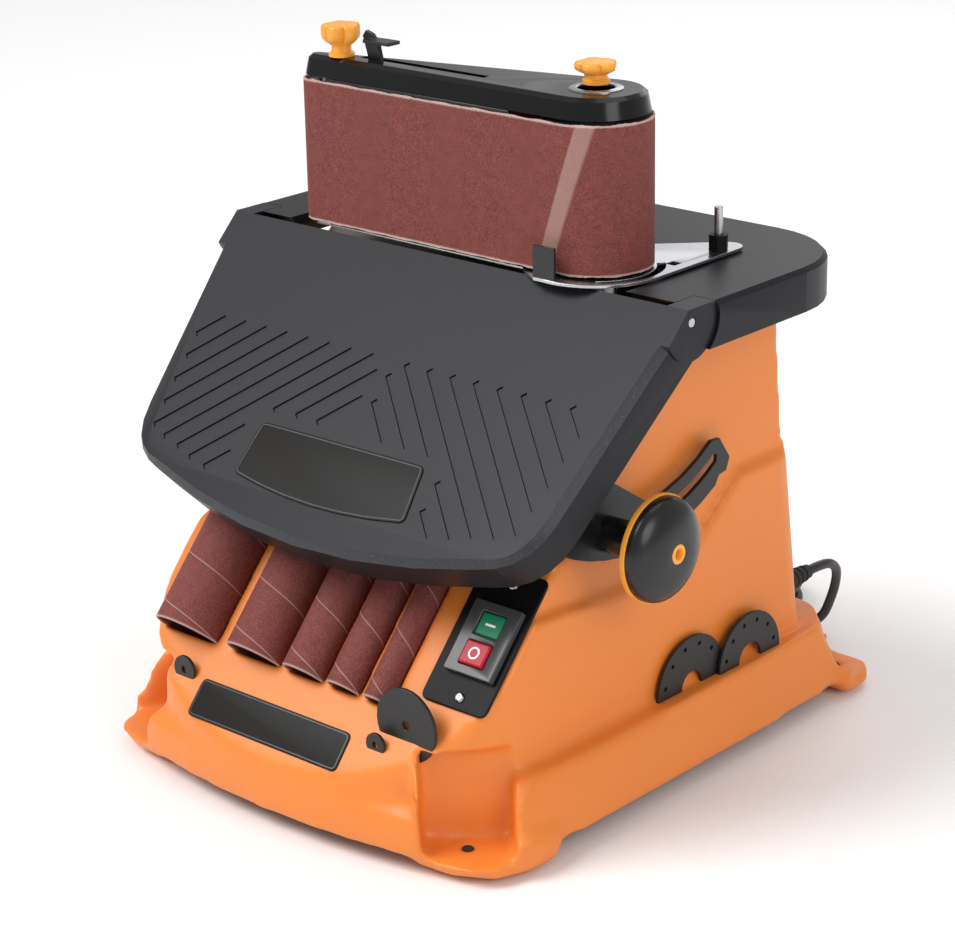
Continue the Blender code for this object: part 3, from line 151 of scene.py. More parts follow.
# ---------------------------------------------------------------- shader maths
class Value:
    """A shader socket, so that plain arithmetic adds its Math nodes."""

    def __init__(self, paint, socket):
        self.paint = paint
        self.socket = socket

    def op(self, kind, *others):
        """One Math node on this value and the others."""
        values = {i: v for i, v in enumerate((self, *others))}
        return self.paint.node("ShaderNodeMath", {"operation": kind}, values)

    def __add__(self, other):
        return self.op("ADD", other)

    def __mul__(self, other):
        return self.op("MULTIPLY", other)

    def __sub__(self, other):
        return self.op("SUBTRACT", other)

    def __rsub__(self, other):
        return self.paint.node("ShaderNodeMath", {"operation": "SUBTRACT"}, {0: other, 1: self})

    __radd__ = __add__
    __rmul__ = __mul__

    def between(self, low, high):
        """0 below low, 1 above high, smooth between them."""
        settings = {"interpolation_type": "SMOOTHSTEP"}
        return self.paint.node("ShaderNodeMapRange", settings, {0: self, 1: low, 2: high})


class Paint:
    """A material with a Principled shader; keyword values are uniform and set on the shader's sockets."""

    def __init__(self, name, **fixed):
        self.material = bpy.data.materials.new(name)
        self.material.use_nodes = True
        self.tree = self.material.node_tree
        self.shader = self.tree.nodes["Principled BSDF"]
        for key, value in fixed.items():
            self.shader.inputs[key.replace("_", " ")].default_value = value
        self.height = None
        where = self.node("ShaderNodeTexCoord", {}, {}, "Object")
        self.place = where
        split = self.tree.nodes.new("ShaderNodeSeparateXYZ")
        self.tree.links.new(where.socket, split.inputs[0])
        self.x, self.y, self.z = (Value(self, s) for s in split.outputs)

    def node(self, kind, settings, values, output=0):
        """Any node: its settings first, then its sockets' values or links. Returns one output."""
        made = self.tree.nodes.new(kind)
        for key, value in settings.items():
            setattr(made, key, value)
        for key, value in values.items():
            if isinstance(value, Value):
                self.tree.links.new(value.socket, made.inputs[key])
            else:
                made.inputs[key].default_value = value
        return Value(self, made.outputs[output])

    def noise(self, scale, detail=2.0, rough=0.5, at=None, stretch=None):
        """Noise of about 1 / scale metres, read at the piece's own coordinates."""
        at = at or self.place
        if stretch:
            at = self.node("ShaderNodeVectorMath", {"operation": "MULTIPLY"}, {0: at, 1: stretch})
        return self.node("ShaderNodeTexNoise", {}, {"Vector": at, "Scale": scale, "Detail": detail,
                                                    "Roughness": rough})

    def mix(self, share, first, second):
        """A colour between two, by share."""
        colours = [c if isinstance(c, Value) else (*c[:3], 1.0) for c in (first, second)]
        return self.node("ShaderNodeMix", {"data_type": "RGBA"}, {0: share, 6: colours[0], 7: colours[1]}, 2)

    def uv(self, name):
        """The piece's own map, as its two values."""
        source = self.node("ShaderNodeUVMap", {"uv_map": name}, {})
        split = self.tree.nodes.new("ShaderNodeSeparateXYZ")
        self.tree.links.new(source.socket, split.inputs[0])
        return Value(self, split.outputs[0]), Value(self, split.outputs[1])

    def feed(self, socket, value):
        self.tree.links.new(value.socket, self.shader.inputs[socket])
        return self

    def bump(self, height, distance, strength=1.0):
        """Bumps of that height in metres, laid on any given before."""
        values = {"Height": height, "Distance": distance, "Strength": strength}
        if self.height:
            values["Normal"] = self.height
        self.height = self.node("ShaderNodeBump", {}, values)
        return self.feed("Normal", self.height)


def moulded(name, colour, grain=1500.0, height=0.00003, rough=0.42, spread=0.10, tint=0.10, **fixed):
    """Moulded plastic: fine spark-eroded grain, slow drift of tone and gloss."""
    paint = Paint(name, **fixed)
    drift = paint.noise(9.0, 3.0)
    fine = paint.noise(grain, 3.0, 0.6)
    dark = [c * (1.0 - tint) for c in colour]
    light = [min(1.0, c * (1.0 + tint)) for c in colour]
    paint.feed("Base Color", paint.mix(drift * 0.75 + fine * 0.25, dark, light))
    paint.feed("Roughness", (drift * 0.6 + fine * 0.4 - 0.5) * spread + rough)
    return paint.bump(fine, height)


def painted(name, colour, rough=0.36, speck=(0.16, 0.165, 0.18), amount=0.5, height=0.00005, **fixed):
    """Textured paint on a casting: pebbled surface, pale specks where the grain catches light."""
    paint = Paint(name, **fixed)
    pebble = paint.noise(1300.0, 4.0, 0.62)
    drift = paint.noise(6.0, 3.0)
    specks = pebble.between(0.60, 0.74) * amount
    base = paint.mix(drift, [c * 0.86 for c in colour], [c * 1.18 for c in colour])
    paint.feed("Base Color", paint.mix(specks, base, speck))
    paint.feed("Roughness", drift * 0.10 + pebble * 0.16 + (rough - 0.13))
    return paint.bump(pebble, height)


def metal(name, colour, rough=0.26, stretch=(1.0, 1.0, 0.05), scale=900.0, height=0.00001):
    """Turned or rolled metal: fine lines drawn out along one axis, dull patches."""
    paint = Paint(name, Metallic=1.0)
    lines = paint.noise(scale, 2.0, 0.6, stretch=stretch)
    dull = paint.noise(45.0, 3.0)
    paint.feed("Base Color", paint.mix(dull * 0.6 + lines * 0.4, [c * 0.82 for c in colour], colour))
    paint.feed("Roughness", lines * 0.12 + dull * 0.16 + (rough - 0.14))
    return paint.bump(lines, height)


def abrasive(name, colour, grit, seam):
    """Abrasive cloth: packed grains in two sizes, pale specks, a seam or a frayed edge from its own map."""
    paint = Paint(name)
    grains = paint.node("ShaderNodeTexVoronoi", {}, {"Vector": paint.place, "Scale": 1700.0}, "Distance")
    fine = paint.noise(1500.0, 3.0, 0.75)
    patch = paint.noise(160.0, 4.0, 0.65)
    tone = fine * 0.85 + patch * 0.15
    base = paint.mix(tone.between(0.34, 0.68), [c * 0.45 for c in colour],
                     [min(1.0, c * 1.9) for c in colour])
    base = paint.mix(fine.between(0.62, 0.72) * 0.55, base, (0.50, 0.27, 0.22))
    base = paint.mix(seam(paint, fine), base, (0.60, 0.42, 0.37))
    paint.feed("Base Color", base)
    paint.feed("Roughness", fine * 0.25 + 0.62)
    return paint.bump((1.0 - grains) * 0.5 + fine * 0.5, grit * 2.0)


def belt_seam(paint, fine):
    """A pale slanted splice on the front run near the drum, and pale threads along both edges."""
    along, height = paint.uv("run")
    strip = along - height * 0.335 + (fine - 0.5) * 0.0020
    splice = strip.between(0.2015, 0.2030) - strip.between(0.2135, 0.2165)
    low = 1.0 - (height + (fine - 0.5) * 0.003).between(0.0010, 0.0022)
    high = (height + (fine - 0.5) * 0.003).between(0.0978, 0.0990)
    return (splice * 0.36 + low * 0.85 + high * 0.85).op("MINIMUM", 1.0)


def sleeve_seam(paint, fine):
    """A thin pale helix and a pale rim."""
    turn, height = paint.uv("run")
    lead = (turn + height * 27.0).op("FRACT")
    line = lead.between(0.0, 0.012) - lead.between(0.022, 0.034)
    rim = 1.0 - (height + (fine - 0.5) * 0.002).between(0.0010, 0.0020)
    return (line * 0.42 + rim * 0.6).op("MINIMUM", 1.0)


def housing_plastic(name, colour):
    """The housing's plastic, with painted shade: near black on the inside walls below the table's opening."""
    paint = moulded(name, colour, rough=0.40, tint=0.05, Specular_IOR_Level=0.42)
    drift = paint.noise(9.0, 3.0)
    base = paint.mix(drift, [c * 0.95 for c in colour], [c * 1.05 for c in colour])
    # painted shade: a near-black mask on the inside walls below the table's opening, standing in for the
    # shade in that cavity
    inner_wall_shade = (1.0 - paint.x.op("ABSOLUTE").between(0.1480, 0.1490)) * paint.y.between(-0.064, -0.062)
    rear = paint.y + paint.z * 0.0962
    inner_wall_shade = inner_wall_shade * (1.0 - rear.between(0.1600, 0.1608)) * paint.z.between(0.16, 0.20)
    # the painted shade is mixed into the plastic's colour here
    return paint.feed("Base Color", paint.mix(inner_wall_shade * 0.97, base, (0.02, 0.016, 0.014)))


def plate_steel(name):
    """Bright rolled plate whose upturned guard at the front is black."""
    paint = metal(name, (0.56, 0.56, 0.58))
    guard = (1.0 - paint.y.between(-0.0432, -0.0428)) * paint.z.between(0.3534, 0.3538)
    dull = paint.noise(45.0, 3.0)
    steel = paint.mix(dull, (0.46, 0.46, 0.48), (0.58, 0.58, 0.60))
    paint.feed("Base Color", paint.mix(guard, steel, (0.010, 0.010, 0.010)))
    paint.feed("Metallic", 1.0 - guard)
    return paint


FINISHES = {}


def mix_finishes():
    """Every finish, named after the record's slots."""
    scene = bpy.context.scene
    body = tuple(scene.sander_body.colour)
    cast = tuple(scene.sander_tables.colour)
    grain = tuple(scene.sander_belt.colour)
    grit = scene.sander_belt.grit
    made = {
        "orange_plastic": housing_plastic("orange_plastic", body),
        "plate_steel": plate_steel("plate_steel"),
        "cast_table": painted("cast_table", cast, 0.42, (0.085, 0.09, 0.10), 0.26, Specular_IOR_Level=0.24),
        # painted highlight: the table's paint made 1.9 times lighter with dense pale specks, a lit copy for
        # the tilting table's chamfers and the tilt badge's raised border
        "cast_edge_highlight": painted("cast_edge_highlight", [c * 1.9 for c in cast], 0.42, (0.26, 0.27, 0.28), 0.8, 0.00014),
        "black_steel": painted("black_steel", (0.007, 0.007, 0.008), rough=0.34, amount=0.10, height=0.00002,
                               Specular_IOR_Level=0.4),
        "gloss_black": moulded("gloss_black", (0.004, 0.004, 0.0045), 500.0, 0.000006, 0.16, 0.05,
                               Specular_IOR_Level=0.34),
        "bright_steel": metal("bright_steel", (0.56, 0.56, 0.58)),
        "cast_alloy": metal("cast_alloy", (0.52, 0.53, 0.54), 0.48, (1, 1, 1), 700.0, 0.00006),
        "brass": metal("brass", (0.72, 0.50, 0.18), 0.3),
        "abrasive": abrasive("abrasive", grain, grit, belt_seam),
        "sleeve_abrasive": abrasive("sleeve_abrasive", grain, grit, sleeve_seam),
        "rubber": moulded("rubber", (0.018, 0.018, 0.019), 900.0, 0.00006, 0.72, 0.12),
        "knob_orange": moulded("knob_orange", (0.90, 0.36, 0.035), rough=0.34, tint=0.06),
        "knob_black": moulded("knob_black", (0.008, 0.008, 0.009), 1100.0, 0.00002, 0.27, 0.10,
                              Specular_IOR_Level=0.45),
        "black_panel": moulded("black_panel", (0.006, 0.006, 0.0065), 1600.0, 0.00003, 0.46, 0.10,
                               Specular_IOR_Level=0.16),
        "badge": moulded("badge", (0.008, 0.007, 0.006), 500.0, 0.00001, 0.44, 0.08, Specular_IOR_Level=0.16),
        "smoke_plastic": moulded("smoke_plastic", (0.055, 0.056, 0.056), 600.0, 0.00001, 0.20, 0.06,
                                 Specular_IOR_Level=0.35),
        "green_plastic": moulded("green_plastic", (0.008, 0.20, 0.095), 800.0, 0.00001, 0.30, 0.06,
                                 Specular_IOR_Level=0.25),
        "red_plastic": moulded("red_plastic", (0.42, 0.006, 0.020), 800.0, 0.00001, 0.30, 0.06,
                               Specular_IOR_Level=0.25),
        "mark_white": moulded("mark_white", (0.80, 0.80, 0.80), 800.0, 0.00001, 0.4, 0.06),
        "insert_plastic": moulded("insert_plastic", (0.012, 0.012, 0.013), 1000.0, 0.00004, 0.46, 0.12),
        "cord_jacket": moulded("cord_jacket", (0.010, 0.010, 0.011), 900.0, 0.00003, 0.44, 0.10),
    }
    FINISHES.update({name: paint.material for name, paint in made.items()})


# ---------------------------------------------------------------- mesh maths
def soften(line, radius, steps=5, closed=False):
    """Each corner P becomes the parabola (1-t)^2 A + 2t(1-t) P + t^2 B between points A and B near it."""
    line = np.asarray(line, float)
    radius = np.broadcast_to(radius, (len(line),))[:, None]
    before, after = np.roll(line, 1, 0) - line, np.roll(line, -1, 0) - line
    spans = [np.linalg.norm(v, axis=1)[:, None] + 1e-9 for v in (before, after)]
    a = line + before / spans[0] * np.minimum(radius, spans[0] * 0.49)
    b = line + after / spans[1] * np.minimum(radius, spans[1] * 0.49)
    t = np.linspace(0, 1, steps + 1)[None, :, None]
    curve = (1 - t) ** 2 * a[:, None] + 2 * t * (1 - t) * line[:, None] + t ** 2 * b[:, None]
    if not closed:
        curve = np.concatenate([line[:1], curve[1:-1].reshape(-1, line.shape[1]), line[-1:]])
    return curve.reshape(-1, line.shape[1])


def inset(outline, distance):
    """A closed anticlockwise outline moved inwards: each point slides along its corner's bisector."""
    outline = np.asarray(outline, float)
    edge = np.roll(outline, -1, 0) - outline
    edge /= np.linalg.norm(edge, axis=1)[:, None] + 1e-12
    normal = np.stack([-edge[:, 1], edge[:, 0]], 1)
    pair = normal + np.roll(normal, 1, 0)
    scale = 2.0 / np.maximum((pair ** 2).sum(1), 0.6)
    return outline + pair * scale[:, None] * distance


def placed(points, origin, ex, ey, ez):
    """Points in a local frame, carried to the machine's frame."""
    points = np.asarray(points, float)
    axes = np.stack([np.asarray(v, float) for v in (ex, ey, ez)])
    return points @ axes + np.asarray(origin, float)


class Shell:
    """Points, faces and map of one piece, gathered from surfaces, in millimetres."""

    def __init__(self):
        self.points, self.faces, self.maps, self.count = [], [], [], 0

    def add(self, points, faces, uv=None):
        points = np.asarray(points, float).reshape(-1, 3)
        self.faces += [tuple(int(i) + self.count for i in f) for f in faces]
        self.points.append(points)
        self.maps.append(np.zeros((len(points), 2)) if uv is None else np.asarray(uv, float).reshape(-1, 2))
        self.count += len(points)
        return self

    def grid(self, points, uv=None):
        """A grid of points as quads. Where it closes on itself, its last row repeats its first."""
        rows, columns = points.shape[:2]
        index = np.arange(rows * columns).reshape(rows, columns)
        quads = np.stack([index[:-1, :-1], index[1:, :-1], index[1:, 1:], index[:-1, 1:]], -1)
        return self.add(points, quads.reshape(-1, 4), uv)

    def loft(self, rings, ends=True):
        """Rings of one count joined in order; the two end rings are closed by flat faces."""
        rings = np.stack([np.asarray(r, float) for r in rings])
        self.grid(np.concatenate([rings, rings[:, :1]], 1))
        if ends:
            self.add(rings[0], [range(rings.shape[1])])
            self.add(rings[-1], [range(rings.shape[1])])
        return self

    def lathe(self, profile, origin, axis, steps=96, uv_scale=None):
        """Profile (radius, height) turned about an axis: x = r cos a, y = r sin a, z = h."""
        profile = np.asarray(profile, float)
        a = np.linspace(0, 2 * math.pi, steps + 1)
        r, h = profile[:, :1], profile[:, 1:]
        local = np.stack([r * np.cos(a), r * np.sin(a), h + 0 * a], -1)
        ez = np.asarray(axis, float)
        ex = np.cross(ez, (0, 0, 1)) if abs(ez[2]) < 0.9 else np.array([1.0, 0, 0])
        ex = ex / np.linalg.norm(ex)
        uv = None
        if uv_scale:
            uv = np.stack([a / (2 * math.pi) + 0 * h, h * MM + 0 * a], -1)
        return self.grid(placed(local, origin, ex, np.cross(ez, ex), ez), uv)

    def slab(self, outline, low, high, edge, origin, ex, ey, ez, steps=4):
        """An outline raised from low to high with quarter-round edges of that radius at its top."""
        turn = np.linspace(0, math.pi / 2, steps + 1)
        rings = [np.column_stack([outline, np.full(len(outline), low)])]
        for t in turn:
            drawn = inset(outline, edge * (1 - math.cos(t)))
            rings.append(np.column_stack([drawn, np.full(len(outline), high - edge + edge * math.sin(t))]))
        return self.loft([placed(r, origin, ex, ey, ez) for r in rings])

    def tube(self, path, radius, sides=12):
        """A round tube along a path, on frames carried along it; its ends are closed."""
        path = np.asarray(path, float)
        radius = np.broadcast_to(radius, (len(path),))
        tangent = np.gradient(path, axis=0)
        tangent /= np.linalg.norm(tangent, axis=1)[:, None]
        side = np.cross(tangent, (0.31, 0.17, 0.93))
        side /= np.linalg.norm(side, axis=1)[:, None]
        other = np.cross(tangent, side)
        a = np.linspace(0, 2 * math.pi, sides, endpoint=False)
        ring = side[:, None] * np.cos(a)[None, :, None] + other[:, None] * np.sin(a)[None, :, None]
        return self.loft(path[:, None] + ring * radius[:, None, None])


def set_up(obj, finish, body, nodes=()):
    """Gives a piece its finish, its body and the nodes that it stands for."""
    if finish:
        obj.data.materials.append(FINISHES[finish])
    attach(obj, body)
    if nodes:
        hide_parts(*nodes)
    return obj


def build(name, shell, finish, body, nodes=(), sharp=38.0):
    """A shell made a mesh: doubles merged, faces turned outwards, round parts smooth."""
    mesh = bpy.data.meshes.new(name)
    mesh.from_pydata((np.concatenate(shell.points) * MM).tolist(), [], shell.faces)
    chart = np.concatenate(shell.maps)
    if np.any(chart):
        corners = np.empty(len(mesh.loops), int)
        mesh.loops.foreach_get("vertex_index", corners)
        mesh.uv_layers.new(name="run").data.foreach_set("uv", chart[corners].ravel())
    work = bmesh.new()
    work.from_mesh(mesh)
    bmesh.ops.remove_doubles(work, verts=work.verts, dist=2e-6)
    bmesh.ops.recalc_face_normals(work, faces=work.faces)
    work.to_mesh(mesh)
    work.free()
    mesh.shade_smooth()
    mesh.set_sharp_from_angle(angle=math.radians(sharp))
    obj = bpy.data.objects.new(name, mesh)
    bpy.context.scene.collection.objects.link(obj)
    return set_up(obj, finish, body, nodes)


def slot_of(node):
    return frame["nodes"][node].data.materials[0].name.split(".")[0]


def merged_copy(node, name):
    """A copy of a CAD node with its loose triangles merged and its flat ones joined."""
    mesh = bpy.data.meshes.new(name)
    work = bmesh.new()
    work.from_mesh(frame["nodes"][node].data)
    bmesh.ops.remove_doubles(work, verts=work.verts, dist=1e-5)
    bmesh.ops.dissolve_limit(work, angle_limit=math.radians(0.6), verts=work.verts, edges=work.edges)
    work.to_mesh(mesh)
    work.free()
    obj = bpy.data.objects.new(name, mesh)
    bpy.context.scene.collection.objects.link(obj)
    return obj


def refined(node, edge=0.6, finish=None, name=None):
    """A CAD node with its edges rounded: the merged copy, a Bevel modifier, smooth shading."""
    obj = merged_copy(node, name or node + "_finished")
    obj.data.shade_smooth()
    obj.data.set_sharp_from_angle(angle=math.radians(35))
    bevel = obj.modifiers.new("edges", "BEVEL")
    bevel.width = edge * MM
    bevel.segments = 2
    bevel.limit_method = "ANGLE"
    bevel.angle_limit = math.radians(35)
    bevel.miter_outer = "MITER_ARC"
    slot = slot_of(node)
    return set_up(obj, finish or slot, body_of(frame["nodes"][node])[0], (node,))


def star_knob(shell, xy, rings, lobes=5):
    """Radius r = R - d (1 - |cos(n a / 2)|^0.8) at each height: full lobes with narrow valleys between."""
    a = np.linspace(0, 2 * math.pi, 161)
    wave = 1.0 - np.abs(np.cos(lobes * a / 2)) ** 0.8
    grid = [np.stack([xy[0] + (r - d * wave) * np.cos(a), xy[1] + (r - d * wave) * np.sin(a),
                      np.full_like(a, z)], 1) for r, d, z in rings]
    first, last = np.array([*xy, rings[0][2]]), np.array([*xy, rings[-1][2]])
    grid = [np.tile(first, (161, 1)), *grid, np.tile(last, (161, 1))]
    return shell.grid(np.stack(grid))


def loop_line(clearance, steps=72, runs=40):
    """Outline of the belt's loop: two arcs about drum and idler, and their tangents."""
    (x1, y1, r1), (x2, y2, r2) = DRUM, IDLER
    r1, r2 = r1 + clearance, r2 + clearance
    along = math.atan2(y1 - y2, x1 - x2)
    lean = math.asin((r1 - r2) / math.hypot(x1 - x2, y1 - y2))
    start, end = -math.pi / 2 - lean + along, math.pi / 2 + lean + along
    a = np.linspace(start, end, steps)
    b = np.linspace(end, start + 2 * math.pi, steps // 2)
    drum = np.stack([x1 + r1 * np.cos(a), y1 + r1 * np.sin(a)], 1)
    idler = np.stack([x2 + r2 * np.cos(b), y2 + r2 * np.sin(b)], 1)
    t = np.linspace(0, 1, runs)[1:-1, None]
    front = idler[-1] + (drum[0] - idler[-1]) * t
    back = drum[-1] + (idler[0] - drum[-1]) * t
    line = np.concatenate([front, drum, back, idler])
    return line


# ---------------------------------------------------------------- operators
class SANDER_OT_stage(bpy.types.Operator):
    """Makes the camera, the floor and the studio lights"""
    bl_idname = "sander.stage"
    bl_label = "Stage"

    def execute(self, context):
        scene = context.scene
        data = bpy.data.cameras.new("camera")
        data.lens = 102.93
        data.sensor_width = 36.0
        data.dof.use_dof = False
        azimuth, elevation, roll = (math.radians(v) for v in (42.06, 19.87, -1.12))
        back = Vector((math.sin(azimuth) * math.cos(elevation), -math.cos(azimuth) * math.cos(elevation),
                       math.sin(elevation)))
        right = (-back).cross(Vector((0, 0, 1))).normalized()
        up = right.cross(-back)
        x_axis = right * math.cos(roll) + up * math.sin(roll)
        y_axis = up * math.cos(roll) - right * math.sin(roll)
        camera = bpy.data.objects.new("camera", data)
        camera.matrix_world = Matrix.Translation((1.2003, -1.3375, 0.8395)) @ Matrix(
            (x_axis, y_axis, back)).transposed().to_4x4()
        scene.collection.objects.link(camera)
        scene.camera = camera
        scene.view_settings.view_transform = "Standard"

        world = bpy.data.worlds.new("studio")
        world.use_nodes = True
        nodes, links = world.node_tree.nodes, world.node_tree.links
        sky = nodes["Background"]
        sky.inputs[0].default_value = (1.0, 1.0, 1.0, 1.0)
        seen = nodes.new("ShaderNodeLightPath")
        level = nodes.new("ShaderNodeMapRange")
        level.inputs[3].default_value = 0.50
        level.inputs[4].default_value = 1.0
        links.new(seen.outputs["Is Camera Ray"], level.inputs[0])
        links.new(level.outputs[0], sky.inputs[1])
        scene.world = world
        floor = Shell()
        floor.grid(np.array([[[-9000.0, -9000, 0], [9000, -9000, 0]], [[-9000, 9000, 0], [9000, 9000, 0]]]))
        mesh = bpy.data.meshes.new("floor")
        mesh.from_pydata((np.concatenate(floor.points) * MM).tolist(), [], [f[::-1] for f in floor.faces])
        stage = bpy.data.objects.new("floor", mesh)
        scene.collection.objects.link(stage)
        paint = Paint("floor")
        pale = tuple(scene.sander_stage.floor)
        paint.feed("Base Color", paint.mix(paint.noise(3.0), [c * 0.99 for c in pale], pale))
        paint.feed("Roughness", paint.noise(40.0) * 0.1 + 0.55)
        mesh.materials.append(paint.material)
        strength = scene.sander_stage.light
        sun = bpy.data.lights.new("window", "SUN")
        sun.energy = 1.9 * strength
        sun.angle = math.radians(32)
        window = bpy.data.objects.new("window", sun)
        window.rotation_euler = Vector((1.2, 1.5, -2.3)).to_track_quat("-Z", "Y").to_euler()
        scene.collection.objects.link(window)
        lamps = (("key", (-1.6, -1.7, 2.3), 1.4, 12.0), ("side", (2.3, -0.6, 1.4), 1.6, 20.0),
                 ("top", (0.1, 0.7, 2.6), 1.6, 8.0), ("back", (-0.8, 2.2, 1.6), 1.8, 8.0))
        for name, place, size, power in lamps:
            light = bpy.data.lights.new(name, "AREA")
            light.shape = "DISK"
            light.size = size
            light.energy = power * strength
            lamp = bpy.data.objects.new(name, light)
            lamp.location = place
            lamp.rotation_euler = (Vector((0, 0, 0.2)) - Vector(place)).to_track_quat("-Z", "Y").to_euler()
            scene.collection.objects.link(lamp)
        mix_finishes()
        return {"FINISHED"}


def cord_line(length):
    """The cord's middle line: a spline through its route, then a coil whose turns step inwards on the
    floor, outwards on top of them, and lift off towards the plug. The coil's radius closes the length."""
    def spline(points, per=9):
        p = np.asarray(points, float)
        ext = np.concatenate([[2 * p[0] - p[1]], p, [2 * p[-1] - p[-2]]])
        t = np.linspace(0, 1, per, endpoint=False)[None, :, None]
        a, b, c, d = (ext[i:len(p) - 1 + i, None] for i in range(4))
        curve = 0.5 * (2 * b + (c - a) * t + (2 * a - 5 * b + 4 * c - d) * t ** 2
                       + (3 * b - a - 3 * c + d) * t ** 3)
        return np.concatenate([curve.reshape(-1, 3), p[-1:]])

    def step(value, start, end):
        t = np.clip((value - start) / (end - start), 0, 1)
        return t * t * (3 - 2 * t)

    def whole(radius):
        turn = np.linspace(0, 2226, 350)
        r = radius + 14.6 - 7.3 * (step(turn, 285, 355) + step(turn, 645, 715))
        r = r + 7.3 * (step(turn, 1365, 1435) + step(turn, 1725, 1795))
        z = 4.6 + 7.25 * (step(turn, 930, 1005) + step(turn, 2010, 2085))
        a = np.radians(-50.0 - turn)
        coil = np.stack([COIL[0] + r * np.cos(a), COIL[1] + r * np.sin(a), z], 1)
        run = [coil[-4], coil[-1], (-31, 266.5, 17.2), (-44, 275.2, 12.4), PLUG_END, (-62.0, 278.0, 11.3)]
        line = np.concatenate([spline([*CORD_ROUTE, coil[0], coil[6]])[:-9], coil[:-1], spline(run)[9:]])
        return line, np.linalg.norm(np.diff(line, axis=0), axis=1).sum()

    low, high = 28.0, 38.0
    for _ in range(40):
        middle = (low + high) / 2
        if whole(middle)[1] < length / MM:
            low = middle
        else:
            high = middle
    return whole(low)[0]


class SANDER_OT_cord(bpy.types.Operator):
    """Lays the mains cord, its coil, the tie and the plug"""
    bl_idname = "sander.cord"
    bl_label = "Cord"

    def execute(self, context):
        props = context.scene.sander_cord
        line = cord_line(props.length)
        data = bpy.data.curves.new("mains_cord", "CURVE")
        data.dimensions = "3D"
        data.bevel_depth = props.diameter / 2
        data.bevel_resolution = 4
        data.use_fill_caps = True
        spline = data.splines.new("POLY")
        spline.points.add(len(line) - 1)
        spline.points.foreach_set("co", np.column_stack([line * MM, np.ones(len(line))]).ravel())
        cord = bpy.data.objects.new("mains_cord", data)
        context.scene.collection.objects.link(cord)
        set_up(cord, "cord_jacket", "housing", ("power_cord", "cord_coil"))

        band = Shell()
        section = soften([(26, 0.3), (54, 0.3), (54, 23), (26, 23)], 6.0, 6, closed=True)
        along = np.linspace(-3.0, 3.0, 5)
        crown = 1.2 - 0.5 * (along / 3.0) ** 2
        outer = np.stack([inset(section, -c + 1.2) for c in crown])
        inner = np.stack([inset(section, 1.2) for _ in along])
        ring = np.concatenate([outer, inner[::-1], outer[:1]])
        where = np.concatenate([along, along[::-1], along[:1]])
        cx, cy = COIL
        grid = np.stack([cx + np.broadcast_to(where[:, None], ring.shape[:2]), cy + ring[..., 0],
                         ring[..., 1]], -1)
        band.grid(np.concatenate([grid, grid[:, :1]], 1))
        tie = build("cord_tie", band, "rubber", "housing")
        plug = refined("plug", 1.6)
        gland = Shell()
        a = np.linspace(156.5, 199, 120)
        ribs = 0.45 * np.sign(np.sin((a - 156) * 1.05)) * (a > 166) * (a < 194)
        r = np.interp(a, [156.5, 199], [8.3, 5.2]) + ribs
        profile = [(3.7, 156.5), *zip(r, a), (3.7, 199)]
        gland.lathe(profile + profile[:1], (137, 0, 84), (0, 1, 0), 48)
        build("cord_relief", gland, "rubber", "housing", ("cord_gland",))
        return {"FINISHED"}


class SANDER_OT_belt(bpy.types.Operator):
    """Makes the sanding belt with its splice and frayed edges"""
    bl_idname = "sander.belt"
    bl_label = "Sanding belt"

    def execute(self, context):
        line = loop_line(0.0, 90, 60)
        inner = loop_line(-1.2, 90, 60)
        line, inner = (np.concatenate([v, v[:1]]) for v in (line, inner))
        run = np.concatenate([[0], np.cumsum(np.linalg.norm(np.diff(line, axis=0), axis=1))])
        seed = np.random.default_rng(7)
        steps = len(line)
        fray = seed.normal(0, 0.16, (2, steps)) + 0.25 * np.sin(run * 0.21 + np.array([[0.0], [1.7]]))
        fray[:, -1] = fray[:, 0]
        levels = np.linspace(0, 1, 26)
        low, high = BELT_LOW + 0.35 + fray[0], BELT_HIGH - 0.35 + fray[1]
        z = low[None, :] + (high - low)[None, :] * levels[:, None]
        outer = np.stack([np.broadcast_to(line[:, 0], z.shape), np.broadcast_to(line[:, 1], z.shape), z], -1)
        back = np.stack([np.broadcast_to(inner[:, 0], z.shape), np.broadcast_to(inner[:, 1], z.shape), z], -1)
        ring = np.concatenate([outer, back[::-1], outer[:1]])
        height = (ring[..., 2] - BELT_LOW) * MM
        uv = np.stack([np.broadcast_to(run * MM, height.shape), height], -1)
        build("sanding_loop", Shell().grid(ring, uv), "abrasive", "carriage", ("sanding_belt",))
        return {"FINISHED"}


class SANDER_OT_sleeves(bpy.types.Operator):
    """Makes the five spare sleeves in their rack"""
    bl_idname = "sander.sleeves"
    bl_label = "Spare sleeves"

    def execute(self, context):
        for number, (x, radius) in enumerate(SLEEVES, 1):
            low, high, wall = 0.3, SLEEVE_LONG - 0.3, 1.6
            body = np.linspace(low + 1, high - 1, 40)
            side = [(radius, h) for h in body]
            profile = np.array([(radius - wall, low), (radius - 0.5, low), (radius, low + 0.5), *side,
                                (radius, high - 0.5), (radius - 0.5, high), (radius - wall, high),
                                (radius - wall, low)])
            origin = SLOPE_FOOT + SLOPE_UP * SLEEVE_FOOT + SLOPE_OUT * SLEEVE_OUT + RIGHT * x
            shell = Shell().lathe(profile, origin, SLOPE_UP, 120, uv_scale=1.0)
            node = "stored_sleeve_%d" % number
            build("spare_sleeve_%d" % number, shell, "sleeve_abrasive", "housing", (node,))
        return {"FINISHED"}


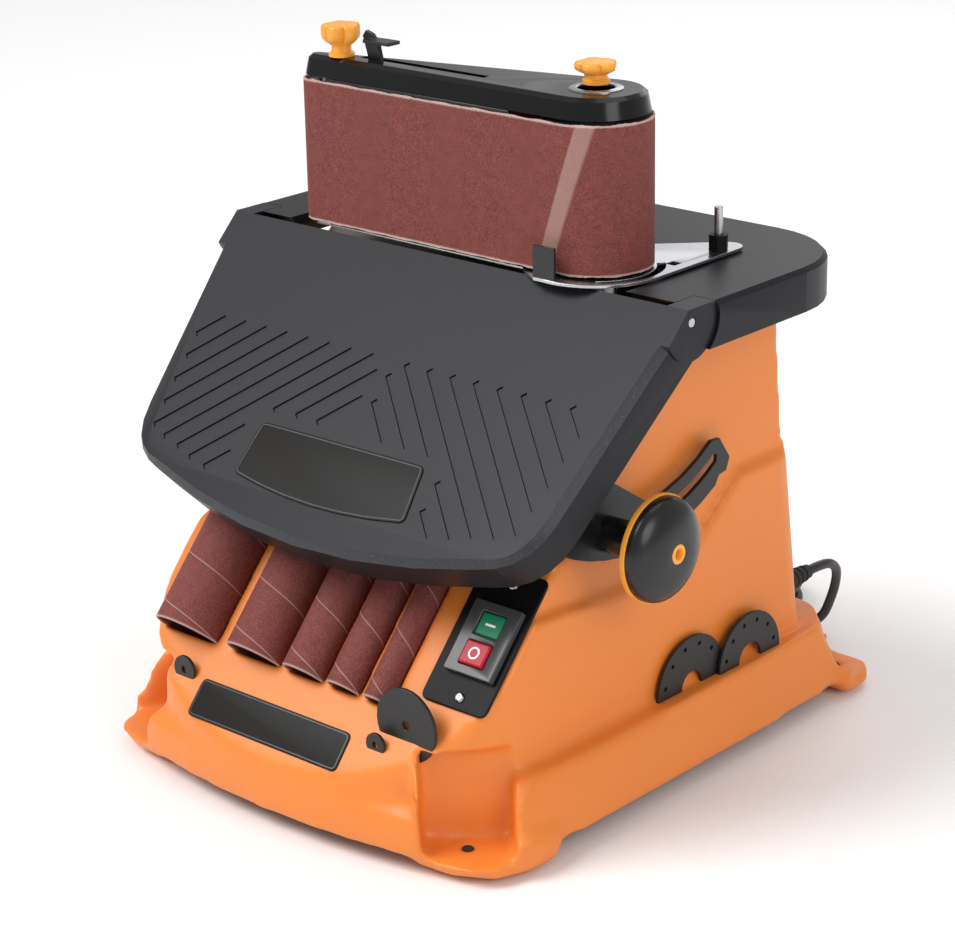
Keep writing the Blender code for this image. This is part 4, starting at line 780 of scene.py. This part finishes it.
class SANDER_OT_knobs(bpy.types.Operator):
    """Makes the star knobs and the two domed lock knobs"""
    bl_idname = "sander.knobs"
    bl_label = "Knobs"

    def execute(self, context):
        rings = [(9.0, 0, 474.4), (9.0, 0, 477), (7.8, 0.6, 478), (7.8, 1.0, 480.5), (11.6, 2.6, 482.2),
                 (13.9, 3.4, 483.6), (14.3, 3.6, 485.5), (14.3, 3.6, 487.0), (13.6, 3.4, 488.3),
                 (11.5, 2.8, 488.9),
                 (4.0, 0.3, 488.9)]
        build("drum_star", star_knob(Shell(), DRUM[:2], rings), "knob_orange", "spindle_set",
              ("drum_knob",), 50)
        rings = [(9.0, 0, 471.3), (9.0, 0, 473.5), (7.0, 0.5, 474.5), (7.0, 0.8, 478.5), (10.6, 2.4, 481.0),
                 (13.4, 3.4, 483.4), (14.0, 3.6, 486), (14.0, 3.6, 491.0), (13.2, 3.3, 492.8),
                 (10.8, 2.4, 493.5),
                 (4.0, 0.3, 493.5)]
        star = star_knob(Shell(), TRACK_XY, rings)
        build("tracking_star", star, "knob_orange", "tracking", ("tracking_knob",), 50)
        for name, side in (("right", 1), ("left", -1)):
            a = np.radians(np.linspace(8, 90, 22))
            dome = [(6.0 + 29.0 * math.sin(t), KNOB_FACE - 0.6 + 14.0 * math.cos(t)) for t in a]
            dome[-1] = (35.0, KNOB_FACE - 0.4)
            profile = [(5.4, 216.0), (5.4, 219.0), *[(r, h) for r, h in dome], (35.0, KNOB_FACE - 5.6),
                       (32.5, KNOB_FACE - 7.6), (12.0, 196.0), (12.0, 164.6)]
            profile = [(r, h) for r, h in profile] + [(0.0, 164.6)]
            profile = [(0.0, 211.0), (5.4, 211.0)] + profile[1:]
            body = "lock_knob_" + name
            shell = Shell().lathe(profile, (0, LOCK_Y, LOCK_Z), (side, 0, 0), 128)
            build("lock_dome_" + name, shell, "knob_black", body, ("tilt_knob_" + name,), 40)
            rim = soften([(34.9, 199.6), (36.1, 199.6), (36.1, 203.2), (34.9, 203.2), (34.9, 199.6)], 0.4, 3)
            build("lock_rim_" + name, Shell().lathe(rim, (0, LOCK_Y, LOCK_Z), (side, 0, 0), 128),
                  "knob_orange", body)
            hub = [(0, 211.2), (3.0, 211.2), (3.0, 217.6), (4.0, 219.4), (6.2, 219.5), (6.9, 218.8),
                   (5.3, 214.0),
                   (5.3, 211.2)]
            build("lock_hub_" + name, Shell().lathe(hub, (0, LOCK_Y, LOCK_Z), (side, 0, 0), 64),
                  "knob_orange", body)
        return {"FINISHED"}


class SANDER_OT_badges(bpy.types.Operator):
    """Makes the two blank badge plates with a raised border"""
    bl_idname = "sander.badges"
    bl_label = "Blank badges"

    def execute(self, context):
        bow = [(x, -196.0 + 8.0 * (x / 80.0) ** 2) for x in (-76.0, -50.0, -25.0, 0.0, 25.0, 50.0, 80.0)]
        for name, body, outline, frame_at in (
                ("tilt_badge", "tilting_table", [*bow, (73.0, -147.5), (-74.5, -148.5)],
                 (TILT_EDGE, RIGHT, -TILT_DOWN, TILT_OUT)),
                ("base_badge", "housing", [(-78.4, 14.2), (62.2, 14.2), (61.2, 41.8), (-78.8, 41.8)],
                 (SLOPE_FOOT, RIGHT, SLOPE_UP, SLOPE_OUT))):
            points = np.array(outline, float)
            points = soften(points, 5.0, 6, closed=True)
            shell = Shell().slab(points, -0.4, 1.0, 0.5, *frame_at)
            build(name, shell, "badge", body, (), 60)
            border = Shell()
            outer, inner = inset(points, 1.2), inset(points, 2.0)
            z = np.array([0.9, 1.15, 1.15, 0.9])
            ring = np.stack([outer, outer, inner, inner])
            ring = np.concatenate([ring, z[:, None, None] + 0 * ring[..., :1]], -1)
            ring = np.concatenate([ring, ring[:1]])
            ring = np.concatenate([ring, ring[:, :1]], 1)
            border.grid(placed(ring, *frame_at))
            # the tilt badge's border takes the lighter copy of the table paint, a painted highlight
            rim = "smoke_plastic" if name == "base_badge" else "cast_edge_highlight"
            build(name + "_border", border, rim, body)
        return {"FINISHED"}


def rounded_box(x0, x1, y0, y1, radius, steps=5):
    return soften([(x0, y0), (x1, y0), (x1, y1), (x0, y1)], radius, steps, closed=True)


class SANDER_OT_switch(bpy.types.Operator):
    """Makes the switch plate, its frame, the marked buttons and the screws"""
    bl_idname = "sander.switch"
    bl_label = "Switch"

    def execute(self, context):
        refined("switch_plate", 0.8)
        refined("switch_bezel", 0.8)
        for name in ("green_button", "red_button"):
            refined(name, 1.2)
        for up, kind in ((137.5, "bar"), (116.5, "ring")):
            high = 6.5 if kind == "bar" else 9.5
            place = SLOPE_FOOT + RIGHT * 130 + SLOPE_UP * up
            if kind == "bar":
                outline = rounded_box(-4.2, 4.2, -0.8, 0.8, 0.4)
                shell = Shell().slab(outline, high - 0.2, high + 0.25, 0.1, place, RIGHT, SLOPE_UP, SLOPE_OUT)
                build("mark_on", shell, "mark_white", "green_push")
            else:
                profile = [(3.0, high - 0.2), (4.3, high - 0.2), (4.3, high + 0.25), (3.0, high + 0.25),
                           (3.0, high - 0.2)]
                shell = Shell().lathe(profile, place, SLOPE_OUT, 48)
                build("mark_off", shell, "mark_white", "red_push")
        for name in ("plate_screw_lower", "plate_screw_upper"):
            refined(name, 0.5)
        return {"FINISHED"}


def bar_box(start, end, half, low, high, frame_at):
    """Eight corners of a bar between two points of a local plane, from low to high."""
    start, end = np.asarray(start, float), np.asarray(end, float)
    along = (end - start) / np.linalg.norm(end - start)
    side = np.array([-along[1], along[0]]) * half
    ring = np.array([start - side, end - side, end + side, start + side])
    return [placed(np.column_stack([ring, np.full(4, z)]), *frame_at) for z in (low, high)]


def chevrons():
    """Ends (x, s) of the pattern's bars: lines |x| - s = c a pitch apart, from s = 82 to the margins,
    left out where the badge lies."""
    bars = []
    for k in range(-6, 9):
        c = -67.0 + 20.4 * k
        s = np.arange(max(82.0, 5.0 - c), 200.0, 1.0)
        x = c + s
        keep = (x < 204.5 - 0.112 * s - 17.0) & (s < 223.0 - 23.0 * (x / 150.0) ** 2 - 20.0)
        keep &= ~((x < 88.0) & (s > 139.0))
        edge = np.flatnonzero(np.diff(np.concatenate([[0], keep.astype(int), [0]])))
        for first, last in edge.reshape(-1, 2):
            if last - first > 7:
                bars.append(((x[first], s[first]), (x[last - 1], s[last - 1])))
    return bars


def carved(obj, cutter):
    """Takes the cutter's solids out of a piece and keeps the result as its mesh."""
    modifier = obj.modifiers.new("carve", "BOOLEAN")
    modifier.operation = "DIFFERENCE"
    modifier.solver = "EXACT"
    modifier.object = cutter
    graph = bpy.context.evaluated_depsgraph_get()
    mesh = bpy.data.meshes.new_from_object(obj.evaluated_get(graph))
    obj.modifiers.clear()
    obj.data = mesh
    old = cutter.data
    bpy.data.objects.remove(cutter)
    bpy.data.meshes.remove(old)
    return obj


def cutter_of(shell):
    """A closed helper mesh, in metres, for carved."""
    mesh = bpy.data.meshes.new("cutter")
    mesh.from_pydata((np.concatenate(shell.points) * MM).tolist(), [], shell.faces)
    work = bmesh.new()
    work.from_mesh(mesh)
    bmesh.ops.remove_doubles(work, verts=work.verts, dist=2e-6)
    bmesh.ops.recalc_face_normals(work, faces=work.faces)
    work.to_mesh(mesh)
    work.free()
    obj = bpy.data.objects.new("cutter", mesh)
    bpy.context.scene.collection.objects.link(obj)
    return obj


def bevelled(obj, edge):
    """Rounds a piece's sharp edges with a Bevel modifier and keeps the result."""
    obj.data.shade_smooth()
    obj.data.set_sharp_from_angle(angle=math.radians(35))
    bevel = obj.modifiers.new("edges", "BEVEL")
    bevel.width = edge * MM
    bevel.segments = 2
    bevel.limit_method = "ANGLE"
    bevel.angle_limit = math.radians(35)
    graph = bpy.context.evaluated_depsgraph_get()
    mesh = bpy.data.meshes.new_from_object(obj.evaluated_get(graph))
    obj.modifiers.clear()
    obj.data = mesh
    return obj


class SANDER_OT_tables(bpy.types.Operator):
    """Makes the fixed table and the grooved tilting table"""
    bl_idname = "sander.tables"
    bl_label = "Tables"

    def execute(self, context):
        refined("fixed_table", 1.2)
        obj = bevelled(merged_copy("tilt_table", "tilt_table_finished"), 1.0)
        depth = context.scene.sander_tables.groove / MM
        frame_at = (TILT_EDGE, RIGHT, -TILT_DOWN, TILT_OUT)
        bars = Shell()
        for start, end in chevrons():
            for side in (-1.0, 1.0):
                ends = [(side * x, -s) for x, s in (start, end)]
                bars.loft(bar_box(*ends, 2.4, -depth, 6.0, frame_at))
        carved(obj, cutter_of(bars))
        obj.data.materials.clear()
        set_up(obj, "cast_table", "tilting_table", ("tilt_table",))
        # painted highlight: the chamfer faces, chosen by how they slope, take the lighter copy of the table
        # paint
        obj.data.materials.append(FINISHES["cast_edge_highlight"])
        faces = len(obj.data.polygons)
        normal, centre = np.empty(faces * 3), np.empty(faces * 3)
        obj.data.polygons.foreach_get("normal", normal)
        obj.data.polygons.foreach_get("center", centre)
        lean = normal.reshape(-1, 3) @ TILT_OUT
        level = (centre.reshape(-1, 3) / MM - TILT_EDGE) @ TILT_OUT
        strip = (lean > 0.2) & (lean < 0.96) & (level > -6.0)
        obj.data.polygons.foreach_set("material_index", strip.astype(int))
        return {"FINISHED"}


def niche_web():
    """The web between the washer slot and the front right niche: four corners set off to either side."""
    _, x, y = FEET[0]
    outline = np.array([(-14, 50), (13, 50), (13, 62), (-14, 82.5)])
    flat = np.stack([x + outline[:, 0] / math.sqrt(2), y - outline[:, 0] / math.sqrt(2), outline[:, 1]], 1)
    step = np.array([1, 1, 0]) / math.sqrt(2)
    points = np.concatenate([flat - 34.5 * step, flat - 30 * step]) * MM
    faces = [(0, 1, 2, 3), (7, 6, 5, 4)] + [((i + 1) % 4, i, i + 4, (i + 1) % 4 + 4) for i in range(4)]
    return points, faces


def remeshed(node, name, voxel, extra=()):
    """The merged copy of a node, with closed blocks added, on an even grid: a voxel remesh."""
    obj = merged_copy(node, name)
    work = bmesh.new()
    work.from_mesh(obj.data)
    for points, faces in extra:
        corners = [work.verts.new(point) for point in points]
        for face in faces:
            work.faces.new([corners[i] for i in face])
    work.to_mesh(obj.data)
    work.free()
    modifier = obj.modifiers.new("grid", "REMESH")
    modifier.mode = "VOXEL"
    modifier.voxel_size = voxel
    graph = bpy.context.evaluated_depsgraph_get()
    mesh = bpy.data.meshes.new_from_object(obj.evaluated_get(graph))
    obj.modifiers.clear()
    obj.data = mesh
    mesh.name = name
    return obj


class SANDER_OT_housing(bpy.types.Operator):
    """Makes the moulded housing with its rounded edges"""
    bl_idname = "sander.housing"
    bl_label = "Housing"

    def execute(self, context):
        props = context.scene.sander_body
        obj = remeshed("base_housing", "moulded_housing", props.voxel, [niche_web()])
        mesh = obj.data
        count = len(mesh.vertices)
        start = np.empty(count * 3)
        mesh.vertices.foreach_get("co", start)
        start = start.reshape(-1, 3)
        edges = np.empty(len(mesh.edges) * 2, int)
        mesh.edges.foreach_get("vertices", edges)
        a, b = edges.reshape(-1, 2).T
        degree = np.maximum(np.bincount(np.concatenate([a, b]), minlength=count), 1)[:, None]
        x, y, z = (start / MM).T
        up = (y + 229.0) * math.cos(SLOPE) + (z - SLOPE_FOOT[2]) * math.sin(SLOPE)
        out = -(y + 229.0) * math.sin(SLOPE) + (z - SLOPE_FOOT[2]) * math.cos(SLOPE)
        fine = np.zeros(count, bool)
        for cx, half, low, high in ((-110.5, 30, 60, 185), (-45, 26, 60, 185), (20, 62, 60, 185),
                                    (127, 32, 74, 183), (103, 28, 42, 60), (-97, 13, 30, 50),
                                    (84, 11, 30, 48)):
            fine |= (np.abs(x - cx) < half) & (up > low) & (up < high) & (out > -60)
        for cy, half in ((27, 42), (89, 40), (147, 22)):
            fine |= (np.abs(x) > 150) & (np.abs(y - cy) < half) & (z > 40)
        for cx, cy in ((-60, 172), (137, 165)):
            fine |= (np.hypot(x - cx, z - 100) < 34) & (y > 120)
        for _, cx, cy in FEET:
            fine |= (np.hypot(x - cx, y - cy) < 15) & (z < 30)
        fine |= z > 280
        share = np.where(fine, 0.10, 0.62)[:, None]
        points = start.copy()
        for _ in range(props.rounding):
            total = np.zeros_like(points)
            for i in range(3):
                total[:, i] = np.bincount(a, points[b, i], count) + np.bincount(b, points[a, i], count)
            points += (total / degree - points) * share
        move = points - start
        size = np.linalg.norm(move, axis=1)[:, None] + 1e-12
        points = start + move * np.minimum(1.0, 0.0035 / size)
        mesh.vertices.foreach_set("co", points.ravel())
        mesh.update()
        thin = obj.modifiers.new("thin", "DECIMATE")
        thin.ratio = min(1.0, 190000 / (2 * len(mesh.polygons)))
        graph = context.evaluated_depsgraph_get()
        final = bpy.data.meshes.new_from_object(obj.evaluated_get(graph))
        obj.modifiers.clear()
        obj.data = final
        final.name = "moulded_housing"
        final.materials.clear()
        final.shade_smooth()
        set_up(obj, "orange_plastic", "housing", ("base_housing",))
        return {"FINISHED"}


EDGES = {"belt_top_cover": 1.0, "belt_base_plate": 0.4, "tilt_quadrant_left": 0.6, "tilt_quadrant_right": 0.6,
         "tension_lever": 0.4, "dust_port": 0.8,
         "stored_washer_large": 0.5, "stored_washer_small_left": 0.4, "stored_washer_small_right": 0.4,
         "guide_bush": 0.4, "platen": 0.6, "drum_washer": 0.4, "bottom_cover": 0.6, "motor_housing": 1.2,
         "guide_pin": 0.5, "hinge_pin_left": 0.4, "hinge_pin_right": 0.4}


OTHER_FINISH = {"belt_base_plate": "plate_steel", "platen": "black_steel"}


class SANDER_OT_fittings(bpy.types.Operator):
    """Rounds the edges of the other seen parts and gives each remaining node its finish"""
    bl_idname = "sander.fittings"
    bl_label = "Fittings"

    def execute(self, context):
        for node, edge in EDGES.items():
            refined(node, edge, OTHER_FINISH.get(node))
        for number, (x, y, radius) in enumerate(INSERTS, 1):
            node = "table_insert_%d" % number
            obj = bevelled(merged_copy(node, node + "_finished"), 0.4)
            drills = Shell()
            for angle in np.radians(np.arange(15, 360, 30)):
                place = (x - 8, y + (radius - 6.5) * math.cos(angle), 60 + (radius - 6.5) * math.sin(angle))
                drills.lathe([(0, 0), (1.7, 0), (1.7, 16), (0, 16)], place, (1, 0, 0), 20)
            carved(obj, cutter_of(drills))
            obj.data.materials.clear()
            set_up(obj, "insert_plastic", "housing", (node,))
        collar = [(12.4, 470.4), (12.4, 471.6), (13.0, 472.1), (17.0, 472.1), (17.8, 471.6), (17.8, 470.8),
                  (12.4, 470.4)]
        build("knob_collar", Shell().lathe(collar, (*DRUM[:2], 0), (0, 0, 1), 72), "bright_steel", "carriage")
        for name, x, y in FEET:
            profile = [(0, 0), (10.5, 0), (12.0, 1.2), (12.0, 10.6), (11.2, 12.4), (3.7, 12.8), (3.7, 14.3),
                       (0, 14.3)]
            build("foot_" + name, Shell().lathe(soften(profile, 0.6, 3), (x, y, 0), (0, 0, 1), 64), "rubber",
                  "housing", ("rubber_foot_" + name,))
        for name, node in frame["nodes"].items():
            if not node.hide_render:
                node.data.materials[0] = FINISHES[slot_of(name)]
        return {"FINISHED"}


OPERATORS = (SANDER_OT_stage, SANDER_OT_cord, SANDER_OT_belt, SANDER_OT_sleeves, SANDER_OT_knobs,
             SANDER_OT_badges, SANDER_OT_switch, SANDER_OT_tables, SANDER_OT_housing, SANDER_OT_fittings)
GROUPS = (("sander_belt", SanderBelt), ("sander_body", SanderBody), ("sander_tables", SanderTables),
          ("sander_cord", SanderCord), ("sander_stage", SanderStage))


class SANDER_PT_panel(bpy.types.Panel):
    """Lists the machine's sizes, colours and pieces"""
    bl_label = "Spindle Sander"
    bl_idname = "SANDER_PT_panel"
    bl_space_type = "VIEW_3D"
    bl_region_type = "UI"
    bl_category = "Sander"

    def draw(self, context):
        for name, group in GROUPS:
            box = self.layout.box()
            props = getattr(context.scene, name)
            for key in group.__annotations__:
                box.prop(props, key)
        for operator in OPERATORS:
            self.layout.operator(operator.bl_idname)


def register():
    for name, group in GROUPS:
        bpy.utils.register_class(group)
        setattr(bpy.types.Scene, name, PointerProperty(type=group))
    for cls in (*OPERATORS, SANDER_PT_panel):
        bpy.utils.register_class(cls)


def unregister():
    for cls in reversed((*OPERATORS, SANDER_PT_panel)):
        bpy.utils.unregister_class(cls)
    for name, group in reversed(GROUPS):
        delattr(bpy.types.Scene, name)
        bpy.utils.unregister_class(group)


def main():
    """Builds every piece in order."""
    register()
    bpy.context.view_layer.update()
    for operator in OPERATORS:
        call = getattr(bpy.ops.sander, operator.bl_idname.split(".")[1])
        call()


if __name__ == "__main__":
    main()
